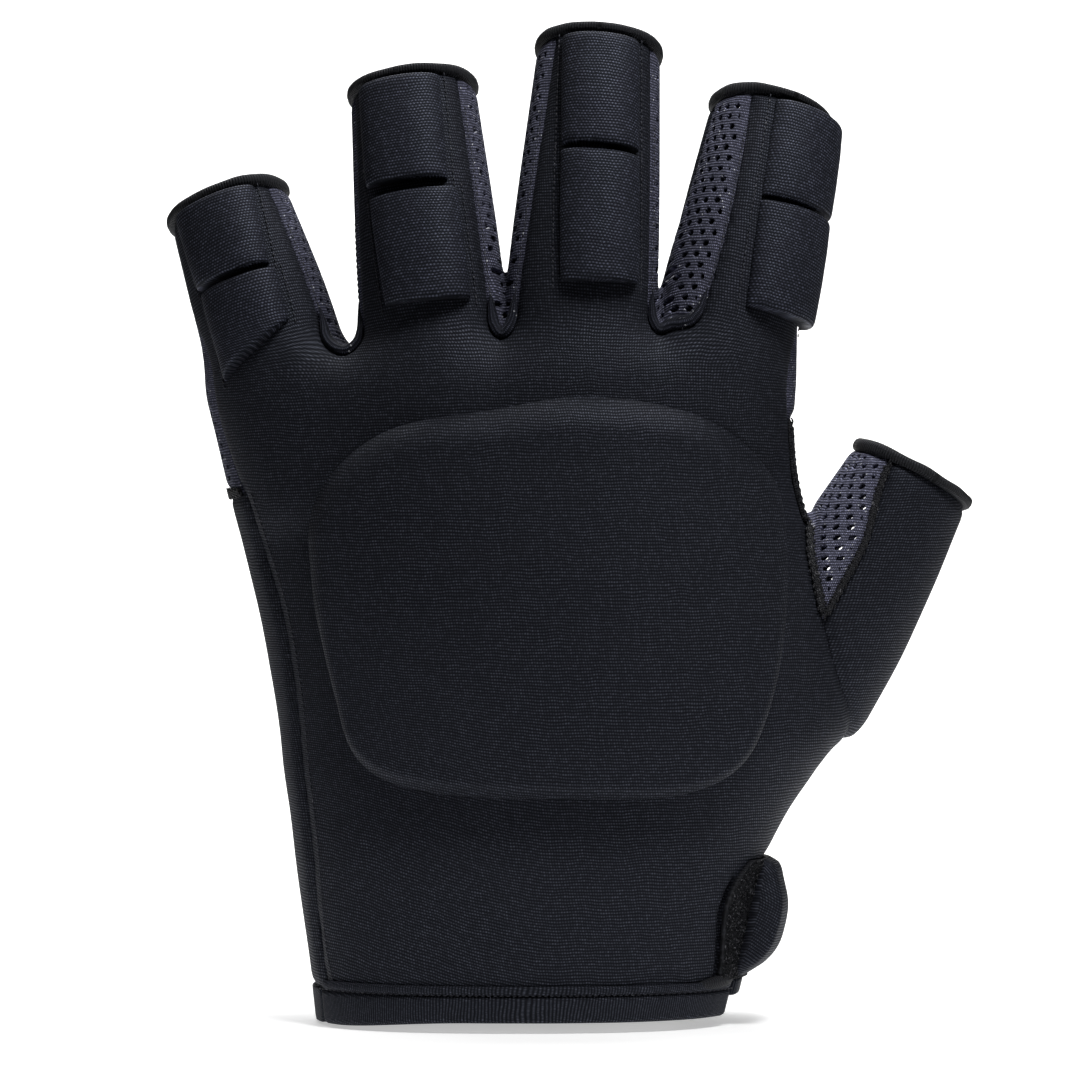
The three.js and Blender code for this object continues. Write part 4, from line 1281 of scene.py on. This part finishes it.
class GLOVE_OT_webs(bpy.types.Operator):
    """Binds the three crotches with tape"""

    bl_idname = "glove.webs"
    bl_label = "Crotch tapes"

    def execute(self, context):
        for left, right, top, _ in CROTCHES:
            path, normal, side = along_glove(crotch_path(left, right, top), 0.6, 6)
            t = np.linspace(0, 1, len(path))
            swell = np.maximum(np.sin(np.pi * t) ** 0.8, 0.08)
            points, faces, uv = tube(
                path + normal * 0.2, normal, side, 0.95 * swell, 1.35 * swell, closed=False
            )
            closed_piece(
                f"tape_{left}_{right}", points, faces, "web", uv,
                "perforated_mesh", f"web_{left}_{right}",
            )
        return {"FINISHED"}


def cuff_point(turn, z, grow):
    """Points round the cuff: turn 0 is towards the thumb, and a quarter turn on is the palm."""
    turn, z, grow = np.broadcast_arrays(*(np.asarray(v, float) for v in (turn, z, grow)))
    left, right, back, palm = (smooth_table(HAND, z, k) for k in (1, 2, 3, 4))
    u, v = oval(turn, HAND_ROUNDNESS)
    x = (left + right) / 2 + u * ((right - left) / 2 + grow)
    depth = np.where(v < 0, back, palm) + grow
    return np.stack([x, middle_y(x, z) + v * depth, z], -1)


def cuff_band(name, start, end, profile, *nodes, round_ends=1.6, edges=None):
    """A band round the cuff between two turns in degrees, from a closed section of (grow, z).

    Its ends are rounded. The function edges gives its lower and upper edge at each turn, and a
    gain for how far it stands out.
    """
    count = 150
    start, end = math.radians(start), math.radians(end)
    t = np.linspace(0, 1, count)
    length = abs(end - start) * CUFF_RADIUS
    from_end = np.minimum(t, 1 - t) * length
    close = np.sqrt(1 - (1 - np.clip(from_end / round_ends, 0, 1)) ** 2)
    close = np.maximum(close, 0.05)[:, None]
    grow, z = np.array(profile, float).T
    turn = np.repeat((start + (end - start) * t)[:, None], len(profile), 1)
    g = grow.min() + (grow - grow.min())[None] * close
    h = np.broadcast_to(z[None], g.shape)
    if edges is not None:
        low, high, out = edges(np.degrees(turn))
        g = np.where(g > 0, g * out, g)
        h = low + (high - low) * (h - z.min()) / (z.max() - z.min())
    middle = (h.max(1) + h.min(1))[:, None] / 2
    h = middle + (h - middle) * (0.5 + 0.5 * close)
    points = cuff_point(turn, h, g)
    flat = points.reshape(-1, 3)
    flat[:, 1] += 0.1 * undulation(flat, 12, 5)
    sides = len(profile)
    faces = [tuple(f) for f in grid_faces(count, sides, closed=True)]
    flat = np.concatenate([flat, points[0].mean(0)[None], points[-1].mean(0)[None]])
    n = count * sides
    for j in range(sides):
        m = (j + 1) % sides
        faces.append((j, m, n))
        faces.append(((count - 1) * sides + m, (count - 1) * sides + j, n + 1))
    around = np.concatenate([[0], np.cumsum(np.hypot(np.diff(grow), np.diff(z)))])
    uv = np.stack(np.broadcast_arrays(around[None], (t * length)[:, None]), -1).reshape(-1, 2)
    uv = np.concatenate([uv, [[0, 0], [0, length]]])
    return closed_piece(name, flat, faces, KNIT[0], uv, KNIT[1], *nodes)


def rounded_profile(low, high, inner, outer, radius, steps=5):
    """A closed section of (grow, z) with rounded corners."""
    corners = [
        (outer - radius, high - radius, 0), (inner + radius, high - radius, 90),
        (inner + radius, low + radius, 180), (outer - radius, low + radius, 270),
    ]
    out = []
    for g, z, start in corners:
        for k in range(steps):
            a = math.radians(start + 90 * k / (steps - 1))
            out.append((g + radius * math.cos(a), z + radius * math.sin(a)))
    return out


def patch_grid(rows, columns, inset, end, low, high):
    """Turns and heights over the loop patch, from its slanted edge to a turn in degrees."""
    share, z = np.meshgrid(np.linspace(0, 1, columns), np.linspace(low, high, rows))
    start = smooth_table(PATCH_EDGE, z) + inset
    return np.radians(start + (end - start) * share), z


def grid_lengths(points):
    """Distances along the rows and columns of a grid of points."""
    across = np.linalg.norm(np.diff(points, axis=1), axis=2)
    along = np.linalg.norm(np.diff(points, axis=0), axis=2)
    u = np.pad(np.cumsum(across, 1), ((0, 0), (1, 0)))
    v = np.pad(np.cumsum(along, 0), ((1, 0), (0, 0)))
    return np.stack([u.ravel(), v.ravel()], -1)


class GLOVE_OT_cuff(bpy.types.Operator):
    """Makes the cuff's hem, its welt, the loop patch and the wrist strap"""

    bl_idname = "glove.cuff"
    bl_label = "Cuff"

    def execute(self, context):
        hem = rounded_profile(1.4, HEM_HIGH, -WALL, 0.7, 0.8)
        cuff_band("hem_back_band", HEM_SEAM, -19, hem, "hem_back", edges=self.lowered)
        cuff_band(
            "hem_palm_band", -17, HEM_SEAM + 359.6, hem, "hem_palm", round_ends=3.2,
            edges=self.raised,
        )
        welt = rounded_profile(6.35, 7.9, -0.4, 0.95, 0.6)
        cuff_band("hem_back_welt", HEM_SEAM, -19, welt, round_ends=5.0)
        cuff_band("hem_palm_welt", *PALM_WELT, welt, round_ends=5.0)
        self.lip()
        self.patch()
        self.strap()
        return {"FINISHED"}

    def raised(self, degrees):
        """Edges of the palm hem, high and narrow at the slit, and how proud of the cuff it is."""
        start = 1 - smoothstep(18, 50, degrees)
        out = 1 - 0.9 * smoothstep(120, 165, degrees)
        return 0.1 + 4.6 * start, HEM_HIGH + 1.6 * start, out

    def lowered(self, degrees):
        """Edges of the back hem, which comes down to the palm hem at its far end."""
        return 1.4 - 1.25 * smoothstep(100, 150, -degrees), HEM_HIGH, 1.0

    def lip(self):
        """The folded end of the back hem, a leaf-shaped lip over the slit."""
        rows, columns = 12, 40
        aa, bb = np.meshgrid(np.linspace(-1, 1, columns), np.linspace(-1, 1, rows))
        shape = (1 - np.abs(aa) ** 2.2) ** 0.8
        turn = np.radians(-31 + 11 * aa)
        z = 7.7 + 0.35 * aa + 1.15 * bb * shape
        grow = 0.5 + 1.0 * shape * np.sqrt(np.maximum(1 - bb**2, 0.0)) ** 0.8
        points, faces = closed_pad(cuff_point(turn, z, grow), cuff_point(turn, z, 0.1))
        uv = np.tile(np.stack([aa.ravel() * 5, bb.ravel() * 1.2], -1), (2, 1))
        closed_piece("hem_lip", points, faces, "tape", uv, "elastic_tape")

    def patch(self):
        """The loop patch's ground, which the pile stands on."""
        tt, zz = patch_grid(30, 40, 0.0, 22, 8.0, 29.0)
        points, faces = closed_pad(cuff_point(tt, zz, 0.95), cuff_point(tt, zz, 0.1))
        uv = np.tile(np.stack([tt.ravel() * CUFF_RADIUS, zz.ravel()], -1), (2, 1))
        closed_piece("patch_base", points, faces, "tape", uv, "loop_pile", "loop_patch")

    def strap(self):
        """The wrist strap, from the palm side to its free end, which stands off the cuff."""
        rows, columns, sewn_end = 40, 150, 128
        v = np.sin(np.linspace(-np.pi / 2, np.pi / 2, rows))
        t = np.linspace(0, 1, columns) ** 0.8
        tt, vv = np.meshgrid(t, v)
        low, high = STRAP_STAND[0, 0], STRAP_STAND[-1, 0]
        z = (low + high) / 2 + vv * (high - low) / 2
        end = smooth_table(STRAP_END, z)
        turn = sewn_end + (end - sewn_end) * tt
        edge = np.sqrt(np.maximum(1 - np.abs(vv) ** 6, 0.0)) ** 0.8
        flat = 1.5 + 1.9 * edge
        free = smoothstep(0.62, 0.92, tt)
        outer = flat * (1 - free) + smooth_table(STRAP_STAND, z) * free
        inner = np.full_like(outer, 1.3)
        from_end = (1 - tt) * np.abs(end - sewn_end) * 0.7
        close = np.sqrt(1 - (1 - np.clip(from_end / 2.2, 0, 1)) ** 2)
        outer = inner + np.maximum(outer - inner, 0.1) * (0.25 + 0.75 * close)
        uneven = undulation(cuff_point(np.radians(turn), z, outer).reshape(-1, 3), 9, 8)
        outer = outer + 0.12 * uneven.reshape(z.shape)
        top, bottom = (cuff_point(np.radians(turn), z, g) for g in (outer, inner - 0.1))
        points, faces = closed_pad(top, bottom)
        uv = np.tile(grid_lengths(top), (2, 1))
        closed_piece("strap", points, faces, "knit", uv, "knit_neoprene", "wrist_strap")


# ---- Stitches and loops ----
# length and thickness of a stitch, and step, length and thickness of the overlocked thread
STITCH = (0.78 * MM, 0.28 * MM)
OVERLOCK = (0.5 * MM, 0.75 * MM, 0.34 * MM)


def path_object(name, paths):
    """A curve object with one open run for each path, in metres."""
    curve = bpy.data.curves.new(name, "CURVE")
    curve.dimensions = "3D"
    for path in paths:
        spline = curve.splines.new("POLY")
        spline.points.add(len(path) - 1)
        flat = np.concatenate([np.asarray(path) * MM, np.ones((len(path), 1))], 1)
        spline.points.foreach_set("co", flat.ravel())
    made = bpy.data.objects.new(name, curve)
    bpy.context.scene.collection.objects.link(made)
    return made


def new_tree(name, numbers):
    """A node group that takes a shape, numbers and a material, and gives a shape."""
    tree = bpy.data.node_groups.new(name, "GeometryNodeTree")
    face = tree.interface
    face.new_socket("Geometry", in_out="INPUT", socket_type="NodeSocketGeometry")
    for label, default in numbers.items():
        kind = "NodeSocketInt" if isinstance(default, int) else "NodeSocketFloat"
        face.new_socket(label, in_out="INPUT", socket_type=kind).default_value = default
    face.new_socket("Material", in_out="INPUT", socket_type="NodeSocketMaterial")
    face.new_socket("Geometry", in_out="OUTPUT", socket_type="NodeSocketGeometry")
    return tree, put(tree, "NodeGroupInput").outputs


def placed_copies(tree, given, points, shape, rotation, scale=None):
    """Ends a tree: a smooth copy of a shape at each point, made real and painted."""
    inputs = {"Points": points, "Instance": shape, "Rotation": rotation}
    if scale is not None:
        inputs["Scale"] = scale
    place = put(tree, "GeometryNodeInstanceOnPoints", inputs)
    real = put(tree, "GeometryNodeRealizeInstances", {0: place.outputs["Instances"]})
    shade = put(tree, "GeometryNodeSetShadeSmooth", {0: real.outputs[0]})
    inputs = {"Geometry": shade.outputs[0], "Material": given["Material"]}
    paint = put(tree, "GeometryNodeSetMaterial", inputs)
    put(tree, "NodeGroupOutput", {0: paint.outputs[0]})
    return tree


def stitch_tree():
    """Lays a short, round-ended stitch at each step along the runs."""
    tree, given = new_tree(
        "Stitches", {"Pitch": 1.5 * MM, "Length": 1.0 * MM, "Thickness": 0.3 * MM}
    )
    inputs = {"Curve": given["Geometry"], "Length": given["Pitch"]}
    points = put(tree, "GeometryNodeCurveToPoints", inputs, mode="LENGTH").outputs
    inputs = {"Segments": 6, "Rings": 5, "Radius": 0.5}
    ball = put(tree, "GeometryNodeMeshUVSphere", inputs).outputs["Mesh"]
    inputs = {0: given["Thickness"], 1: given["Thickness"], 2: given["Length"]}
    size = put(tree, "ShaderNodeCombineXYZ", inputs).outputs[0]
    return placed_copies(tree, given, points["Points"], ball, points["Rotation"], size)


def loop_tree():
    """Scatters small thread loops over a patch, standing on it."""
    tree, given = new_tree(
        "Loop pile",
        {"Density": 3.0e6, "Loop Radius": 0.36 * MM, "Thread Radius": 0.1 * MM, "Seed": 7},
    )
    inputs = {"Mesh": given["Geometry"], "Density": given["Density"], "Seed": given["Seed"]}
    scatter = put(tree, "GeometryNodeDistributePointsOnFaces", inputs).outputs
    ring, thread = (
        put(tree, "GeometryNodeCurvePrimitiveCircle", {"Resolution": sides, "Radius": radius})
        for sides, radius in ((8, given["Loop Radius"]), (3, given["Thread Radius"]))
    )
    inputs = {"Curve": ring.outputs["Curve"], "Profile Curve": thread.outputs["Curve"]}
    solid = put(tree, "GeometryNodeCurveToMesh", inputs).outputs["Mesh"]
    inputs = {0: (-0.7, -0.7, 0.0), 1: (0.7, 0.7, 6.28), "Seed": given["Seed"]}
    turn = put(tree, "FunctionNodeRandomValue", inputs, data_type="FLOAT_VECTOR")
    upright = put(tree, "FunctionNodeEulerToRotation", {0: turn.outputs[0]})
    inputs = {"Rotation": scatter["Rotation"], "Rotate By": upright.outputs[0]}
    stand = put(tree, "FunctionNodeRotateRotation", inputs, rotation_space="LOCAL")
    return placed_copies(tree, given, scatter["Points"], solid, stand.outputs[0])


def grown(name, source, tree, values):
    """Runs a node tree on an object and keeps the result as a plain mesh object."""
    modifier = source.modifiers.new("made", "NODES")
    modifier.node_group = tree
    sockets = {
        item.name: item.identifier
        for item in tree.interface.items_tree
        if item.item_type == "SOCKET" and item.in_out == "INPUT"
    }
    for key, value in values.items():
        modifier[sockets[key]] = value
    graph = bpy.context.evaluated_depsgraph_get()
    mesh = bpy.data.meshes.new_from_object(source.evaluated_get(graph), depsgraph=graph)
    mesh.name = name
    source.modifiers.remove(modifier)
    bpy.data.objects.remove(source)
    made = bpy.data.objects.new(name, mesh)
    bpy.context.scene.collection.objects.link(made)
    return made


def sew_along(name, runs, material, pitch, length, thickness):
    """Dresses runs of points as one piece of stitches."""
    piece = grown(name, path_object(name + "_runs", runs), stitch_tree(), {
        "Pitch": pitch, "Length": length, "Thickness": thickness, "Material": finish(material),
    })
    dress(piece, "elastic_tape")


def guard_runs():
    """Stitch lines beside the guards, up each finger's back."""
    runs = []
    for name, _, corners in GUARDS:
        for side in (-1, 1):
            v = np.linspace(-0.04, 1.04, 50)
            share, turn = guard_place(corners, np.full(len(v), float(side)), v)
            p, n = finger_surface(name, share, turn + side * math.radians(6))
            runs.append(p + n * 0.12)
    return runs


def cuff_run(start, end):
    """A stitch line over the hem between two turns in degrees."""
    return cuff_point(np.radians(np.linspace(start, end, 200)), 6.3, 0.55)


class GLOVE_OT_stitches(bpy.types.Operator):
    """Sews the rows of stitches"""

    bl_idname = "glove.stitches"
    bl_label = "Stitches"

    def execute(self, context):
        s = context.scene.glove
        runs = guard_runs()
        for left, right, _, top in CROTCHES:
            path = smoothed(evened(crotch_path(left, right, top), 0.8), 4)
            path, normal = settle(path, rounds=2)
            runs.append(path + normal * 0.1)
        runs += [cuff_run(-158, -20), cuff_run(*PALM_WELT)]
        z = np.linspace(7, 94, 120)
        front, normal = back_points(smooth_table(SIDE_SEAM, z) + 1.6, z)
        runs.append(front + normal * 0.06)
        sew_along("stitches", runs, "thread", s.stitch_pitch, *STITCH)
        return {"FINISHED"}


class GLOVE_OT_overlock(bpy.types.Operator):
    """Binds the thumb's seams and the side panel's top with overlocked thread"""

    bl_idname = "glove.overlock"
    bl_label = "Overlocked seams"

    def execute(self, context):
        # each run has half its width with it
        runs = [(run[run[:, 2] > 54], 0.72) for run in shared_seams("thumb_back", "thumb_mesh")]
        runs += [(run, 0.85) for run in shared_seams("back_panel", "thumb_mesh", 6)]
        for run in shared_seams("back_panel", "palm_panel"):
            thumb_side = run[(run[:, 0] > 45) & (run[:, 2] > 84)]
            if len(thumb_side) > 12:
                runs.append((thumb_side, 0.85))
        runs += [(run, 1.0) for run in shared_seams("side_panel", "strip_little_outer", 4)]
        threads = []
        for k, (run, half) in enumerate(runs):
            path, normal, side = along_glove(run, 0.7, 5)
            t = np.linspace(0, 1, len(path))
            swell = np.clip(np.sin(np.pi * t) * 6, 0.15, 1)
            wave = 0.08 * undulation(path, 4, 61)
            points, faces, uv = tube(
                path - normal * 0.2, side, normal, (half - 0.1 + wave) * swell, 0.5 * swell,
                closed=False,
            )
            closed_piece(f"overlock_{k + 1}", points, faces, "tape", uv, "elastic_tape")
            turn = np.where(np.arange(len(path)) % 2, 1.0, -1.0)[:, None]
            threads.append(path + normal * 0.25 + side * turn * (half * swell)[:, None])
        sew_along("overlock_threads", threads, "overlock", *OVERLOCK)
        return {"FINISHED"}


class GLOVE_OT_pile(bpy.types.Operator):
    """Covers the loop patch in thread loops"""

    bl_idname = "glove.pile"
    bl_label = "Loop pile"

    def execute(self, context):
        rows, columns = 24, 44
        tt, zz = patch_grid(rows, columns, 0.3, 0, 8.2, 28.8)
        points = cuff_point(tt, zz, 1.15).reshape(-1, 3)
        source = make_object("pile_ground", points, grid_faces(rows, columns), finish("loop"))
        piece = grown(
            "loop_pile_threads", source, loop_tree(), {"Seed": 7, "Material": finish("loop")}
        )
        dress(piece, "loop_pile")
        return {"FINISHED"}


# ---- Stage ----
CAMERA_AIM = (3.6, 0.0, 86.0)
CAMERA_DISTANCE = 810.0


class GLOVE_OT_stage(bpy.types.Operator):
    """Sets the floor, the lights and the camera"""

    bl_idname = "glove.stage"
    bl_label = "Stage"

    def execute(self, context):
        scene = context.scene
        size, front, back, bend, top, count = 0.32, -0.16, 0.7, 0.5, 2.2, 24
        profile = [(front, 0.0)] + [
            (back + bend * math.sin(a), bend - bend * math.cos(a))
            for a in np.linspace(0, math.pi / 2, count)
        ] + [(back + bend, top)]
        points, faces = [], []
        for y, z in profile:
            points += [(-size, y, z - 0.0004), (size, y, z - 0.0004)]
        for i in range(len(profile) - 1):
            faces.append((2 * i, 2 * i + 1, 2 * i + 3, 2 * i + 2))
        mesh = bpy.data.meshes.new("floor")
        mesh.from_pydata(points, [], faces)
        mesh.polygons.foreach_set("use_smooth", [True] * len(faces))
        floor = bpy.data.objects.new("floor", mesh)
        scene.collection.objects.link(floor)
        material, _, shader = new_material("pale_floor")
        feed(shader, {
            "Base Color": (0.93, 0.93, 0.93, 1), "Roughness": 0.9,
            "Emission Color": (1, 1, 1, 1), "Emission Strength": 0.45,
        })
        mesh.materials.append(material)

        world = bpy.data.worlds.new("studio")
        scene.world = world
        world.use_nodes = True
        feed(world.node_tree.nodes["Background"], {"Color": (1, 1, 1, 1), "Strength": 0.015})
        scene.view_settings.view_transform = "Standard"

        def area(name, place, aim, width, height, power):
            light = bpy.data.lights.new(name, "AREA")
            light.shape = "RECTANGLE"
            light.size, light.size_y = width, height
            light.energy = power
            lamp = bpy.data.objects.new(name, light)
            lamp.location = place
            lamp.rotation_euler = (Vector(aim) - Vector(place)).to_track_quat("-Z", "Y").to_euler()
            scene.collection.objects.link(lamp)

        area("key", (0.13, -0.19, 0.47), (0, 0, 0.13), 0.13, 0.13, 1.5)
        area("fill", (0.4, -0.8, 0.3), (0, 0, 0.12), 0.3, 0.3, 0.15)
        area("back_wall", (0, 0.35, 1.2), (0, 1.1, 0.5), 1.2, 0.5, 22)

        camera = bpy.data.cameras.new("camera")
        camera.lens = 150
        camera.sensor_width = 36
        eye = bpy.data.objects.new("camera", camera)
        aim = Vector(CAMERA_AIM) * MM
        eye.location = aim + Vector((0, -CAMERA_DISTANCE * MM, 0))
        eye.rotation_euler = (math.pi / 2, 0, 0)
        scene.collection.objects.link(eye)
        scene.camera = eye
        return {"FINISHED"}


OPERATORS = (
    GLOVE_OT_panels, GLOVE_OT_strips, GLOVE_OT_guards, GLOVE_OT_back_pad, GLOVE_OT_bindings,
    GLOVE_OT_webs, GLOVE_OT_cuff, GLOVE_OT_stitches, GLOVE_OT_overlock, GLOVE_OT_pile,
    GLOVE_OT_stage,
)


class GLOVE_PT_panel(bpy.types.Panel):
    """Lists the glove's settings and pieces"""

    bl_label = "Field hockey glove"
    bl_idname = "GLOVE_PT_panel"
    bl_space_type = "VIEW_3D"
    bl_region_type = "UI"
    bl_category = "Glove"

    def draw(self, context):
        settings = context.scene.glove
        for name in GloveSettings.__annotations__:
            self.layout.prop(settings, name)
        for operator in OPERATORS:
            self.layout.operator(operator.bl_idname)


def register():
    for item in (GloveSettings, *OPERATORS, GLOVE_PT_panel):
        bpy.utils.register_class(item)
    bpy.types.Scene.glove = bpy.props.PointerProperty(type=GloveSettings)


def unregister():
    del bpy.types.Scene.glove
    for item in reversed((GloveSettings, *OPERATORS, GLOVE_PT_panel)):
        bpy.utils.unregister_class(item)


def main():
    register()
    for operator in OPERATORS:
        family, name = operator.bl_idname.split(".")
        getattr(getattr(bpy.ops, family), name)()


if __name__ == "__main__":
    main()
